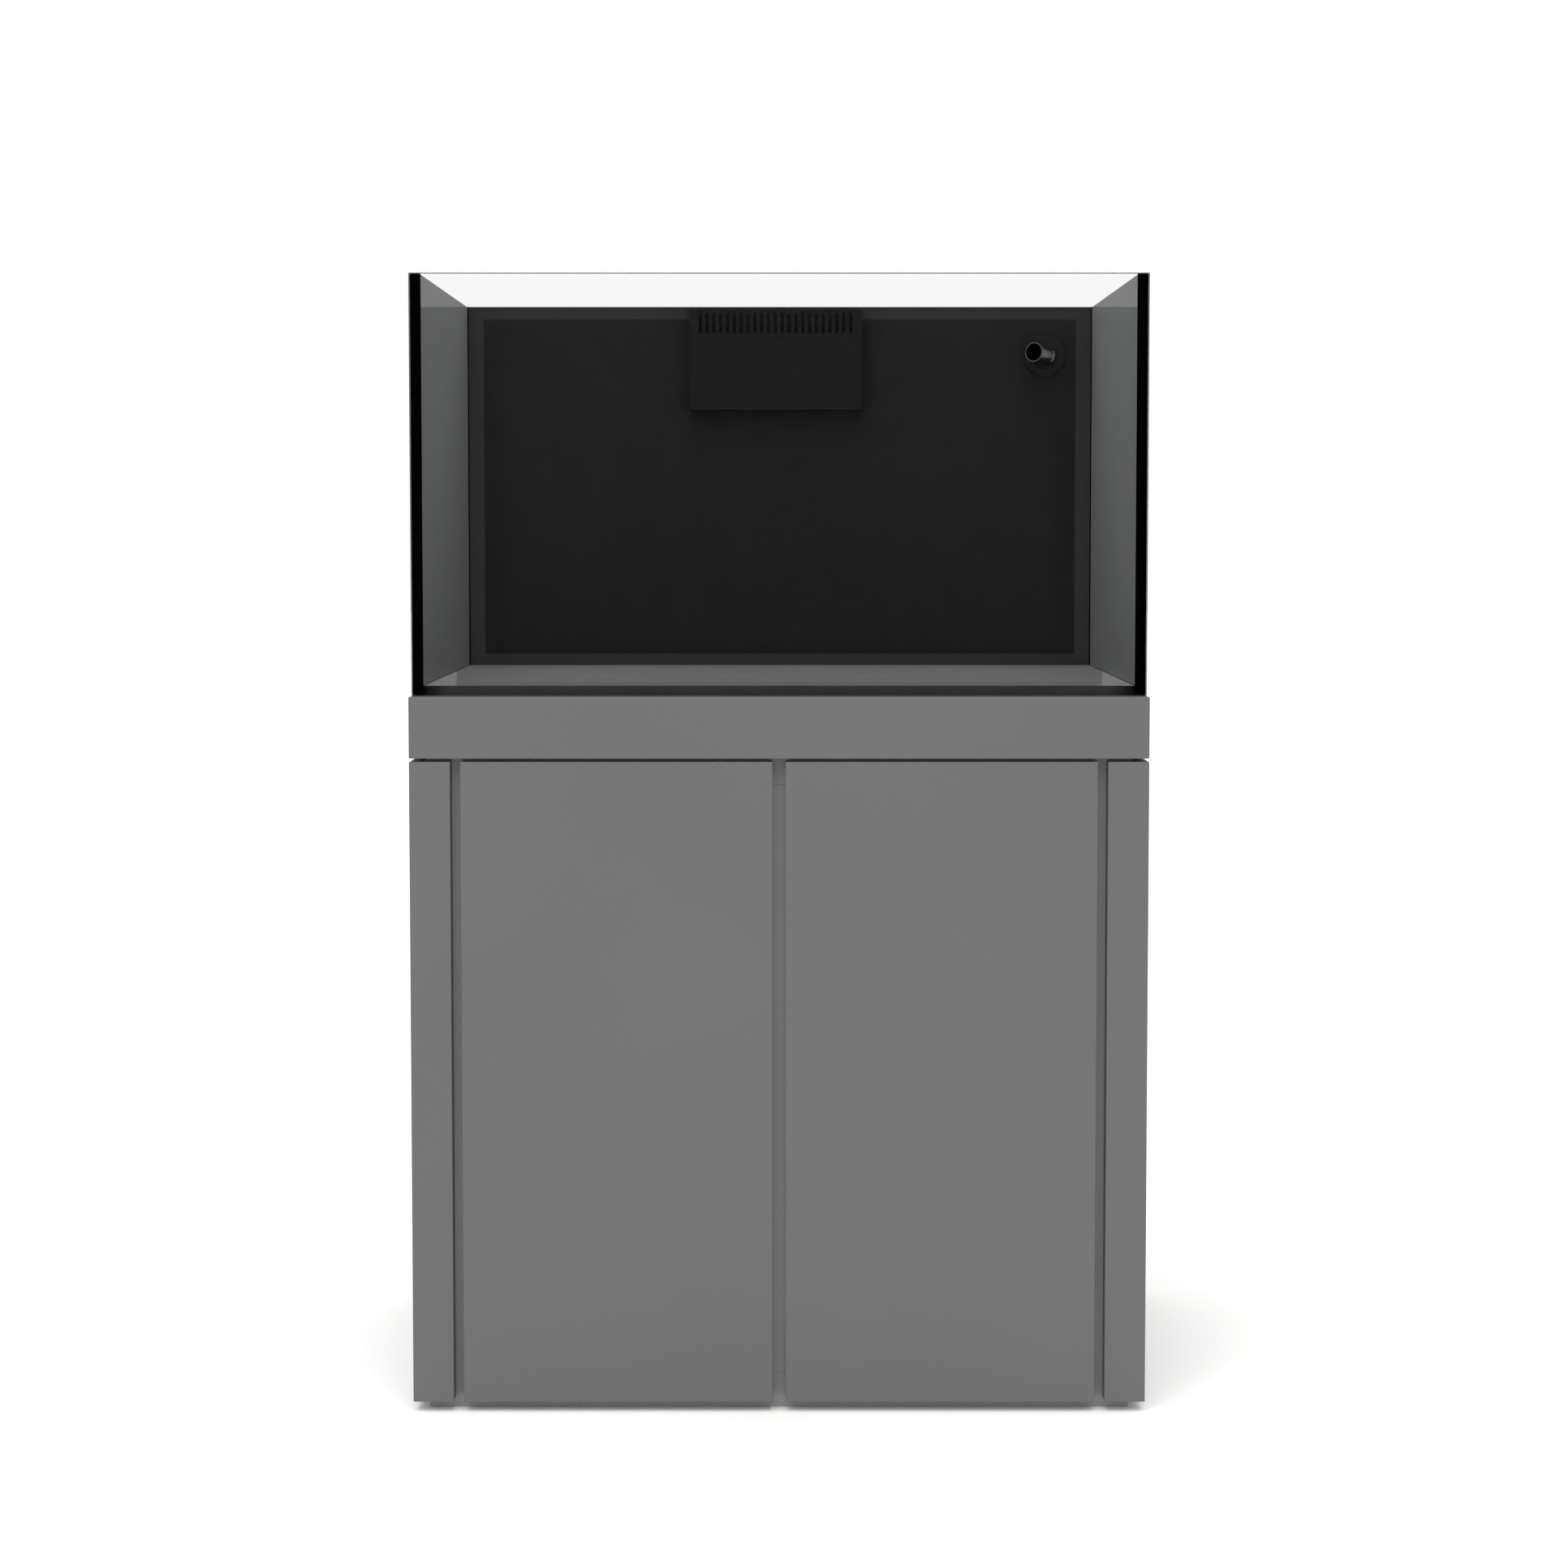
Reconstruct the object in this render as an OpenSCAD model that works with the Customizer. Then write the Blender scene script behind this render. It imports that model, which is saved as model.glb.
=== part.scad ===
// Aquarium on a stand: a frameless glass tank with a rear overflow, on a two-door
// cabinet that hides a sump, its filter socks, the return pump and the pipes.
// Millimetres. +Z is up, the doors face -Y, and the origin is the middle of the
// footprint on the floor.

/* [Tank] */
// Width over the glass
tank_w = 900; // [780:1:1200]
// Depth over the glass
tank_d = 500; // [430:1:700]
// Height over the glass
tank_h = 515; // [400:1:700]
// Thickness of every pane
glass_t = 12; // [8:1:15]
// Thickness of the silicone between two panes
seam_t = 1; // [0.5:0.5:2]
// Side of the silicone bead along each inner corner
bead = 1.5; // [1:0.5:5]

/* [Cabinet] */
// Height from the floor to the underside of the tank
cab_h = 884; // [780:1:1000]
// How far the cabinet stands out past each side of the tank
side_lap = 1; // [0:0.5:20]
// Ledge in front of the tank
front_ledge = 19; // [5:1:60]
// How far the cabinet stands out behind the tank
rear_lap = 1; // [0:0.5:20]
// Thickness of the cabinet boards
board_t = 18; // [16:1:22]
// Height of the crown around the support board
crown_h = 75; // [50:1:110]
// Open shadow line under the crown
shadow_gap = 4; // [3:0.5:8]
// Clearance of the doors and side boards above the floor
skirt_lift = 13; // [6:1:25]
// Width of the fixed stile at each front corner
stile_w = 50; // [44:1:70]
// Finger groove between a stile and its door
side_groove = 12.5; // [10:0.5:18]
// Finger groove between the two doors
centre_groove = 16; // [10:1:30]
// Gap between a closed door and the face frame
door_gap = 3; // [2.8:0.1:4]
// How far a door laps the rails and the centre post
door_lap = 30; // [20:1:45]
// Depth of the ribs behind the posts
post_depth = 60; // [50:1:80]
// Thickness of the back panel
back_t = 12; // [6:1:16]

/* [Hinges] */
// Distance of each hinge pin from its door's edge
pin_inset = 7; // [6.5:0.1:7.5]
// Radius of the hinge pins
pin_r = 1.5; // [1.2:0.1:1.6]
// Running clearance of a pin in its arm
pin_play = 0.06; // [0.02:0.01:0.09]
// Radius of the hinge cups
cup_r = 17.5; // [17:0.1:18]
// Depth of the hinge cups in the door
cup_depth = 13; // [12.5:0.1:13.5]
// Distance of the outer hinges from a door's ends
hinge_inset = 100; // [60:1:150]
// Hinges on each door
hinge_n = 3; // [2:1:4]

/* [Overflow] */
// Sideways offset of the overflow from the middle of the tank
weir_x = -6; // [-60:1:60]
// Width of the comb inside the tank
weir_w = 241; // [230:1:300]
// How far the comb box stands out from the back pane
weir_d = 25; // [24:1:40]
// Top of the comb box below the rim
weir_drop = 6; // [4:1:15]
// Height of the comb box
weir_h = 139; // [130:1:180]
// Wall of the comb box
weir_wall = 4; // [3:0.5:5]
// Slots in the comb
slot_n = 23; // [11:1:23]
// Width of a slot
slot_w = 4.5; // [3:0.1:6]
// Distance from slot to slot
slot_pitch = 9.5; // [8:0.1:10]
// Height of a slot
slot_h = 27.5; // [20:0.5:40]
// Top of the slots below the rim
slot_drop = 11; // [11:1:20]
// Outer width of the box behind the tank
box_w = 260; // [250:1:320]
// Outer depth of the box behind the tank
box_d = 100; // [90:1:130]
// Height of the box behind the tank
box_h = 190; // [170:1:220]
// Wall of the box behind the tank
box_wall = 5; // [4:1:8]
// Thickness of the seal between that box and the back pane
seal_t = 2; // [1:0.5:4]
// Thickness of the lid
lid_t = 4; // [3:0.5:6]

/* [Pipes] */
// Outer radius of the drain pipes
drain_r = 16; // [12.5:0.5:17]
// Outer radius of the return pipe
return_r = 12.5; // [10:0.5:14]
// Wall of every pipe
pipe_wall = 2.4; // [1.8:0.1:3]
// Distance of each drain from the overflow's middle
drain_off = 45; // [42:1:60]
// Height at which the drains enter the cabinet
drain_entry_z = 640; // [620:1:680]
// Height at which the return leaves the cabinet
return_exit_z = 590; // [560:1:600]
// Height of the valve's middle
valve_z = 530; // [510:1:540]
// Distance of the inner drain legs from the back panel
leg_off = 70; // [60:1:90]
// Distance of the nozzle from the side pane
nozzle_inset = 67; // [50:1:120]
// Height of the nozzle above the tank's underside
nozzle_z = 446; // [250:1:460]
// Angle of the nozzle from its flange's axis
nozzle_angle = 34; // [10:1:45]
// Turn of the nozzle about its flange's axis
nozzle_roll = 7; // [-180:1:180]

/* [Sump] */
// Height of the sump
sump_h = 350; // [300:1:380]
// Thickness of the sump's panes
sump_t = 6; // [5:1:8]
// Free space at each side of the sump
sump_side_room = 125; // [90:1:160]
// Free space between the sump and the post ribs
sump_front_room = 10; // [4:1:30]
// Free space between the sump and the back panel
sump_rear_room = 15; // [5:1:30]
// Width of the chamber that holds the pump
pump_bay = 104; // [98:1:120]
// Gap between the baffles
baffle_gap = 14; // [12:1:20]
// Outer radius of a filter sock's ring
sock_ring_r = 54; // [50:1:56]
// Length of a filter sock
sock_len = 200; // [150:1:220]

/* [Hidden] */
$fn = 48;

// Colours
GREY = "#777777";
GLASS = [0.85, 0.9, 0.9, 0.3];
BLACK = "#151515";
PVC = "#4a4d50";
STEEL = "#a8abae";
FELT = "#e9e6dc";

// Overall places
cab_w = tank_w + 2 * side_lap;
cab_d = front_ledge + tank_d + rear_lap;
front_y = -(front_ledge + tank_d + seal_t + box_d) / 2;
cab_back_y = front_y + cab_d;
half_w = cab_w / 2;
crown_z = cab_h - crown_h;
door_z0 = skirt_lift;
door_z1 = crown_z - shadow_gap;
rim_z = cab_h + tank_h;

// Carcass and face frame
carcass_x = half_w - board_t;
inner_x = carcass_x - board_t;
carcass_top = cab_h - board_t;
carcass_back_y = cab_back_y - board_t;
panel_y = carcass_back_y - back_t;
frame_y = front_y + board_t + door_gap;
frame_back_y = frame_y + board_t;
rib_y = frame_back_y + post_depth;
door_x0 = half_w - stile_w - side_groove;
door_x1 = centre_groove / 2;

// Grommet for the leads, in the back panel
grommet_r = 30;
grommet_x = -inner_x + 110;
grommet_z = drain_entry_z + 60;

// Hinges: each pin stands a little above the floor of its cup
pin_x = door_x0 - pin_inset;
pin_over_base = 4;
pin_to_back = cup_depth - pin_over_base;
pin_y = front_y + board_t - pin_to_back;
pin_half = 9;
cup_edge = 3;
cup_wall = 1.2;
cup_x = pin_inset - cup_edge - cup_r;
arm_t = 2.6;
arm_x = sqrt(pow(pin_inset, 2) + pow(pin_to_back, 2)) + 0.5;
plate_t = arm_x - 9.5 - 0.4;
post_face_x = pin_x - 9.5;
knuckle_half = 4;
eye_r = pin_r + 1.2;
plate_y = pin_to_back + door_gap + 14;
arm_half = 7;

// Tank
pane_y0 = front_y + front_ledge;
pane_y1 = pane_y0 + tank_d;
tank_y0 = pane_y0 + glass_t;
tank_y1 = pane_y1 - glass_t;
tank_x = tank_w / 2 - glass_t;
floor_z = cab_h + glass_t;

// Overflow
box_y0 = pane_y1 + seal_t;
box_y1 = box_y0 + box_d;
box_z1 = rim_z - lid_t - 4;
box_z0 = box_z1 - box_h;
weir_y = tank_y1 - weir_d;
weir_z1 = rim_z - weir_drop;
weir_z0 = weir_z1 - weir_h;
slide_gap = 0.3;
union_z = weir_z0 + 40;
union_off = 75;
union_r = 20;
union_flange_r = 28;
union_flange_t = 5;

// Pipes
pipe_y = (box_y0 + box_y1) / 2 + 4;
leg_y = panel_y - leg_off;
main_x = weir_x - drain_off;
emergency_x = weir_x + drain_off;
main_top_z = box_z0 + 70;
emergency_top_z = box_z0 + 125;
drain_bend = 28;
return_bend = 24;
sleeve_t = 3;
sleeve_len = 20;
bulkhead_r = 21;
bulkhead_flange_r = 29;
return_x = tank_x - nozzle_inset;
return_z = cab_h + nozzle_z;

// Return nozzle
flange_r = 28;
flange_t = 5;
collar_r = 17.5;
collar_len = 14;
nozzle_r = 13.7;
nozzle_play = 0.08;
nozzle_wall = 1.7;
nozzle_swell = 0.6;
nozzle_elbow = 5.5;
nozzle_len = 35.5;
nozzle_elbow_y = tank_y1 - flange_t - collar_len - nozzle_elbow;

// Gate valve: the blade crosses the pipe towards +Y as it closes
valve_r = 25;
valve_half = 35;
blade_w = 30;
blade_t = 11;
blade_len = 46;
blade_play = 0.5;
blade_travel = 30;
blade_start_y = leg_y - drain_r - 1;
bonnet_w = 44;
bonnet_h = 24;
bonnet_y = blade_start_y - blade_len - 9;
stem_r = 3;
wheel_r = 30;
wheel_t = 9;
wheel_y = bonnet_y - 12 - wheel_t;

// Sump
sump_x = inner_x - sump_side_room;
sump_y0 = rib_y + sump_front_room;
sump_y1 = panel_y - sump_rear_room;
sump_z0 = board_t;
sump_z1 = sump_z0 + sump_h;
sump_in_x = sump_x - sump_t;
sump_in_y0 = sump_y0 + sump_t;
sump_in_y1 = sump_y1 - sump_t;
sump_in_z = sump_z0 + sump_t;
tray_z = sump_z1 - 38;
tray_t = 6;
tray_rim = 30;
tray_wall = 4;
divider_x = main_x + drain_r + 20;
pump_wall_x = sump_in_x - pump_bay;
sock_neck_r = sock_ring_r - 10;
sock_bag_r = sock_neck_r + 3;
sock_hole_r = sock_bag_r + 1;
sock_x = -sump_in_x + tray_wall + 10 + sock_ring_r;
sock_run = sump_in_y1 - sump_in_y0;
front_sock_y = sump_in_y0 + sock_run / 4;
rear_sock_y = sump_in_y0 + sock_run * 3 / 4;

// Return pump: the motor lies along Y, with the volute and inlet at the front
pump_x = sump_in_x - pump_bay / 2;
pump_r = 34;
volute_r = 42;
pump_z = sump_in_z + 8 + volute_r;
volute_y = sump_in_y0 + 70;
volute_len = 32;
motor_len = 90;
strainer_len = 40;
impeller_r = 26;
outlet_y = volute_y + volute_len / 2;
outlet_z = pump_z + volute_r + 34;

// ---------------------------------------------------------------- helpers

// A block between two corners
module block(a, b) {
    translate(a) cube(b - a);
}

// The same shape on the left and mirrored to the right
module left_or_right(side) {
    if (side < 0) children();
    else mirror([1, 0, 0]) children();
}

// A cylinder along Y
module along_y(x, y0, y1, z, r) {
    translate([x, y1, z]) rotate([90, 0, 0]) cylinder(h = y1 - y0, r = r);
}

function unit(v) = v / norm(v);

// The route with both ends made longer
function stretched(path, e) = [for (i = [0:len(path) - 1])
    i == 0 ? path[0] - e * unit(path[1] - path[0])
    : i == len(path) - 1 ? path[i] + e * unit(path[i] - path[i - 1])
    : path[i]];

// A rod from p to q
module rod(p, q, r) {
    v = q - p;
    translate(p) rotate([0, acos(v[2] / norm(v)), atan2(v[1], v[0])]) cylinder(h = norm(v), r = r);
}

// A quarter bend that starts at p along u and ends along v
module quarter_bend(p, u, v, r, bend) {
    w = cross(u, v);
    c = p + bend * v;
    multmatrix([for (k = [0:2]) [-v[k], u[k], w[k], c[k]]])
        rotate_extrude(angle = 90) translate([bend, 0]) circle(r = r);
}

// Straight rods and quarter bends along a route with square corners
module route(path, r, bend) {
    last = len(path) - 1;
    for (i = [0:last - 1]) {
        d = unit(path[i + 1] - path[i]);
        rod(path[i] + (i > 0 ? bend : 0) * d, path[i + 1] - (i < last - 1 ? bend : 0) * d, r);
    }
    if (last > 1) for (i = [1:last - 1]) {
        u = unit(path[i] - path[i - 1]);
        quarter_bend(path[i] - bend * u, u, unit(path[i + 1] - path[i]), r, bend);
    }
}

// A pipe with a glued sleeve over each bend
module pipe(path, r, bend) {
    last = len(path) - 1;
    difference() {
        union() {
            route(path, r, bend);
            if (last > 1) for (i = [1:last - 1]) {
                u = unit(path[i] - path[i - 1]);
                v = unit(path[i + 1] - path[i]);
                reach = bend + sleeve_len;
                route([path[i] - reach * u, path[i], path[i] + reach * v], r + sleeve_t, bend);
            }
        }
        route(stretched(path, 1), r - pipe_wall, bend);
    }
}

// ---------------------------------------------------------------- cabinet

module bottom_board() color(GREY)
    block([-inner_x, frame_back_y, 0], [inner_x, panel_y, board_t]);

module carcass_side(side) color(GREY)
    left_or_right(side) block([-carcass_x, frame_y, 0], [-inner_x, carcass_back_y, carcass_top]);

module back_panel() color(GREY) difference() {
    block([-inner_x, panel_y, 0], [inner_x, carcass_back_y, carcass_top]);
    // The drains pass through a slot with round ends
    for (x = [main_x, emergency_x])
        along_y(x, panel_y - 1, carcass_back_y + 1, drain_entry_z, drain_r + 20);
    block([main_x, panel_y - 1, drain_entry_z - drain_r - 20],
        [emergency_x, carcass_back_y + 1, drain_entry_z + drain_r + 20]);
    along_y(return_x, panel_y - 1, carcass_back_y + 1, return_exit_z, return_r + 14);
    grommet_hole(grommet_r - 2);
}

module top_board() color(GREY)
    block([-carcass_x, front_y + board_t, carcass_top], [carcass_x, carcass_back_y, cab_h]);

// A face-frame post with the rib that carries the hinge plates
module post(side) color(GREY) left_or_right(side) {
    block([-inner_x, frame_y, 0], [-post_face_x, frame_back_y, carcass_top]);
    block([-post_face_x - board_t, frame_back_y - 1, board_t], [-post_face_x, rib_y, carcass_top]);
}

module centre_post() color(GREY) {
    half = door_x1 + door_lap;
    block([-half, frame_y, door_z0 + door_lap], [half, frame_back_y, door_z1 - door_lap]);
    block([-board_t / 2, frame_back_y, board_t], [board_t / 2, rib_y, carcass_top]);
}

module top_rail() color(GREY)
    block([-post_face_x, frame_y, door_z1 - door_lap], [post_face_x, frame_back_y, carcass_top]);

module bottom_rail() color(GREY)
    block([-post_face_x, frame_y, 0], [post_face_x, frame_back_y, door_z0 + door_lap]);

module side_board(side) color(GREY)
    left_or_right(side) block([-half_w, frame_y, door_z0], [-carcass_x, cab_back_y, door_z1]);

module stile(side) color(GREY)
    left_or_right(side) block([-half_w, front_y, door_z0], [-half_w + stile_w, frame_y, door_z1]);

// The crown's boards meet in mitres at the corners
module crown_front() color(GREY) translate([0, 0, crown_z]) linear_extrude(crown_h)
    polygon([[-half_w, front_y], [half_w, front_y],
        [half_w - board_t, front_y + board_t], [-half_w + board_t, front_y + board_t]]);

module crown_back() color(GREY) translate([0, 0, crown_z]) linear_extrude(crown_h)
    polygon([[-half_w, cab_back_y], [-half_w + board_t, carcass_back_y],
        [half_w - board_t, carcass_back_y], [half_w, cab_back_y]]);

module crown_side(side) color(GREY) left_or_right(side) translate([0, 0, crown_z])
    linear_extrude(crown_h)
    polygon([[-half_w, front_y], [-half_w + board_t, front_y + board_t],
        [-half_w + board_t, carcass_back_y], [-half_w, cab_back_y]]);

// ---------------------------------------------------------------- doors and hinges

function hinge_z(i) = door_z0 + hinge_inset
    + i * (door_z1 - door_z0 - 2 * hinge_inset) / (hinge_n - 1);

module door(side) color(GREY) left_or_right(side) difference() {
    block([-door_x0, front_y, door_z0], [-door_x1, front_y + board_t, door_z1]);
    for (i = [0:hinge_n - 1])
        along_y(-pin_x - cup_x, front_y + board_t - cup_depth, front_y + board_t + 1, hinge_z(i), cup_r);
}

// Everything on a hinge is drawn from its pin, on the left door
module at_each_hinge(side) {
    left_or_right(side) for (i = [0:hinge_n - 1]) translate([-pin_x, pin_y, hinge_z(i)]) children();
}

// Cup pressed into the door, with two screwed ears and two lugs that hold the pin
module hinge_cup() {
    mouth = pin_to_back;
    base = -pin_over_base;
    lug_half = 2.6;
    window = eye_r + 0.35;
    difference() {
        union() {
            difference() {
                along_y(-cup_x, base, mouth, 0, cup_r);
                along_y(-cup_x, base + 1, mouth + 2, 0, cup_r - cup_wall);
            }
            intersection() {
                along_y(-cup_x, base, mouth - 4, 0, cup_r - cup_wall / 2);
                for (s = [-1, 1])
                    block([-lug_half, base + 0.5, s * 7.5 - 2.5], [lug_half, lug_half, s * 7.5 + 2.5]);
            }
            for (s = [-1, 1]) difference() {
                block([-cup_x - 7, mouth, s * 24 - 8], [-cup_x + 7, mouth + 1, s * 24 + 8]);
                along_y(-cup_x, mouth - 1, mouth + 2, 0, cup_r - cup_wall);
            }
        }
        translate([0, 0, -20]) cylinder(h = 40, r = pin_r);
        // Window in the cup's wall where the arm's eye turns
        block([cup_edge - pin_inset - 1, -window, -knuckle_half - 0.4],
            [0, window, knuckle_half + 0.4]);
    }
}

module hinge_cups(side) color(STEEL) at_each_hinge(side) hinge_cup();

module hinge_pins(side) color(STEEL) at_each_hinge(side)
    translate([0, 0, -pin_half]) cylinder(h = 2 * pin_half, r = pin_r);

// Arm from the pin, out of the cup and back along the post
module hinge_arm() {
    difference() {
        union() {
            translate([0, 0, -knuckle_half]) cylinder(h = 2 * knuckle_half, r = eye_r);
            block([0, -2.3, -knuckle_half], [arm_x + arm_t, 0.3, knuckle_half]);
            block([arm_x, -2.3, -arm_half], [arm_x + arm_t, plate_y + 36, arm_half]);
        }
        translate([0, 0, -20]) cylinder(h = 40, r = pin_r + pin_play);
        // Screw hole at the adjusting end
        translate([arm_x - 1, plate_y + 26, 0]) rotate([0, 90, 0]) cylinder(h = 5, r = 3);
    }
}

module hinge_arms() color(STEEL) for (side = [-1, 1]) at_each_hinge(side) hinge_arm();

// Plate on the post, with a boss that the arm is screwed to
module hinge_plate() {
    face = pin_x - post_face_x;
    block([face, plate_y, -22], [face + plate_t, plate_y + 30, 22]);
    block([face, plate_y + 4, -arm_half], [arm_x, plate_y + 26, arm_half]);
    translate([arm_x - 1, plate_y + 26, 0]) rotate([0, 90, 0]) cylinder(h = 1 + arm_t, r = 3);
    translate([arm_x + arm_t, plate_y + 26, 0]) rotate([0, 90, 0]) cylinder(h = 2, r = 5);
}

module hinge_plates() color(STEEL) for (side = [-1, 1]) at_each_hinge(side) hinge_plate();

module door_bumpers() color(BLACK) for (side = [-1, 1], z = [door_z0 + 60, door_z1 - 60])
    along_y(side * (door_x1 + 14), frame_y - door_gap + 0.2, frame_y, z, 5);

// Screws from inside the carcass into the side boards
module cabinet_screws() color(STEEL) for (side = [-1, 1], y = [rib_y + 30, panel_y - 40],
    z = [door_z0 + 60, door_z1 - 60]) left_or_right(side) {
    translate([-carcass_x - board_t + 6, y, z]) rotate([0, 90, 0]) cylinder(h = 2 * board_t - 6, r = 2);
    translate([-inner_x - 3, y, z]) rotate([0, 90, 0]) cylinder(h = 3, r1 = 2, r2 = 4.5);
}

module grommet_hole(r) along_y(grommet_x, panel_y - 1, carcass_back_y + 1, grommet_z, r);

module cable_grommet() color(BLACK) difference() {
    union() {
        along_y(grommet_x, panel_y, carcass_back_y, grommet_z, grommet_r - 2);
        along_y(grommet_x, carcass_back_y, carcass_back_y + 3, grommet_z, grommet_r + 3);
        along_y(grommet_x, panel_y - 3, panel_y, grommet_z, grommet_r + 3);
    }
    along_y(grommet_x, panel_y - 10, carcass_back_y + 10, grommet_z, grommet_r - 6);
}

// ---------------------------------------------------------------- tank

module front_pane() color(GLASS)
    block([-tank_w / 2, pane_y0, cab_h], [tank_w / 2, tank_y0, rim_z]);

module side_pane(side) color(GLASS) left_or_right(side)
    block([-tank_w / 2, tank_y0 + seam_t, cab_h], [-tank_x, tank_y1 - seam_t, rim_z]);

module bottom_pane() color(GLASS)
    block([-tank_x + seam_t, tank_y0 + seam_t, cab_h], [tank_x - seam_t, tank_y1 - seam_t, floor_z]);

module back_pane() color(BLACK) difference() {
    block([-tank_w / 2, tank_y1, cab_h], [tank_w / 2, pane_y1, rim_z]);
    for (s = [-1, 0, 1])
        along_y(weir_x + s * union_off, tank_y1 - 1, pane_y1 + 1, union_z, union_r);
    along_y(return_x, tank_y1 - 1, pane_y1 + 1, return_z, bulkhead_r - 4);
}

// Triangular bead in the corner between two panes, h long, drawn up from the origin
module bead_bar(h) linear_extrude(h) polygon([[0, 0], [bead, 0], [0, bead]]);

module silicone_seams() color(BLACK) for (side = [-1, 1]) left_or_right(side) {
    // Between the side pane's ends and the front and back panes
    block([-tank_w / 2, tank_y0, cab_h], [-tank_x, tank_y0 + seam_t, rim_z]);
    block([-tank_w / 2, tank_y1 - seam_t, cab_h], [-tank_x, tank_y1, rim_z]);
    translate([-tank_x, tank_y0, cab_h]) block([0, 0, 0], [seam_t, tank_d - 2 * glass_t, glass_t]);
    // Beads up the inner corners
    translate([-tank_x, tank_y0, floor_z]) bead_bar(tank_h - glass_t);
    translate([-tank_x, tank_y1, floor_z]) rotate([0, 0, -90]) bead_bar(tank_h - glass_t);
    // Half of the seams under the front and back panes' inner faces
    block([-tank_x, tank_y0, cab_h], [0, tank_y0 + seam_t, floor_z]);
    block([-tank_x, tank_y1 - seam_t, cab_h], [0, tank_y1, floor_z]);
}

// ---------------------------------------------------------------- overflow

// Shallow tray behind the comb, clamped to the back pane
module weir_box() color(BLACK) difference() {
    block([weir_x - weir_w / 2, weir_y + weir_wall + slide_gap, weir_z0],
        [weir_x + weir_w / 2, tank_y1, weir_z1]);
    block([weir_x - weir_w / 2 + weir_wall, weir_y - 1, weir_z0 + weir_wall],
        [weir_x + weir_w / 2 - weir_wall, tank_y1 - weir_wall, weir_z1 + 1]);
    for (s = [-1, 0, 1])
        along_y(weir_x + s * union_off, weir_y, tank_y1 + 1, union_z, union_r);
}

module slot(x) {
    y0 = weir_y - 1;
    y1 = weir_y + weir_wall + 1;
    z1 = rim_z - slot_drop - slot_w / 2;
    z0 = z1 - slot_h + slot_w;
    along_y(x, y0, y1, z1, slot_w / 2);
    along_y(x, y0, y1, z0, slot_w / 2);
    block([x - slot_w / 2, y0, z0], [x + slot_w / 2, y1, z1]);
}

// Comb plate that lifts off, with a guide rail inside each edge
module weir_comb() color(BLACK) {
    difference() {
        block([weir_x - weir_w / 2, weir_y, weir_z0], [weir_x + weir_w / 2, weir_y + weir_wall, weir_z1]);
        for (i = [0:slot_n - 1]) slot(weir_x + (i - (slot_n - 1) / 2) * slot_pitch);
    }
    for (s = [-1, 1]) {
        x = weir_x + s * (weir_w / 2 - weir_wall - slide_gap - 1.5);
        block([x - 1.5, weir_y + weir_wall - 0.5, weir_z0 + weir_wall + 6],
            [x + 1.5, weir_y + weir_wall + 6, weir_z1]);
    }
}

module overflow_box() color(BLACK) difference() {
    x0 = weir_x - box_w / 2;
    x1 = weir_x + box_w / 2;
    block([x0, box_y0, box_z0], [x1, box_y1, box_z1]);
    block([x0 + box_wall, box_y0 + box_wall, box_z0 + box_wall],
        [x1 - box_wall, box_y1 - box_wall, box_z1 + 1]);
    for (s = [-1, 0, 1])
        along_y(weir_x + s * union_off, box_y0 - 1, box_y0 + box_wall + 1, union_z, union_r);
    for (x = [main_x, emergency_x])
        translate([x, pipe_y, box_z0 - 1]) cylinder(h = box_wall + 2, r = bulkhead_r);
}

module overflow_lid() color(BLACK) {
    lip = box_wall + 1;
    x0 = weir_x - box_w / 2;
    x1 = weir_x + box_w / 2;
    block([x0, box_y0, box_z1 + 0.2], [x1, box_y1, box_z1 + 0.2 + lid_t]);
    difference() {
        block([x0 + lip, box_y0 + lip, box_z1 - 8], [x1 - lip, box_y1 - lip, box_z1 + 0.2 + lid_t / 2]);
        block([x0 + lip + 3, box_y0 + lip + 3, box_z1 - 9], [x1 - lip - 3, box_y1 - lip - 3, box_z1 + 0.2]);
    }
}

// Flanged tubes that clamp the two boxes and the seals to the back pane
module overflow_unions() color(PVC) for (s = [-1, 0, 1]) {
    x = weir_x + s * union_off;
    inside = tank_y1 - weir_wall;
    outside = box_y0 + box_wall;
    difference() {
        union() {
            along_y(x, inside - union_flange_t, outside + 10, union_z, union_r);
            along_y(x, inside - union_flange_t, inside, union_z, union_flange_r);
            along_y(x, outside, outside + 7, union_z, union_flange_r);
            along_y(x, pane_y1, box_y0, union_z, union_flange_r);
        }
        along_y(x, inside - 20, outside + 20, union_z, union_r - 3);
    }
}

module drain_bulkheads() color(PVC) for (x = [main_x, emergency_x]) translate([x, pipe_y, box_z0])
    difference() {
        union() {
            translate([0, 0, -22]) cylinder(h = 22 + box_wall, r = bulkhead_r);
            translate([0, 0, box_wall]) cylinder(h = 6, r = bulkhead_flange_r);
            translate([0, 0, -12]) cylinder(h = 12, r = bulkhead_flange_r, $fn = 8);
        }
        translate([0, 0, -30]) cylinder(h = 60, r = drain_r);
    }

// ---------------------------------------------------------------- drains and valve

module main_drain_upper() color(PVC) pipe([
    [main_x, pipe_y, main_top_z], [main_x, pipe_y, drain_entry_z],
    [main_x, leg_y, drain_entry_z], [main_x, leg_y, valve_z + 12]
], drain_r, drain_bend);

module main_drain_lower() color(PVC) pipe([
    [main_x, leg_y, valve_z - 12], [main_x, leg_y, tray_z + tray_t + 14]
], drain_r, drain_bend);

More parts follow.
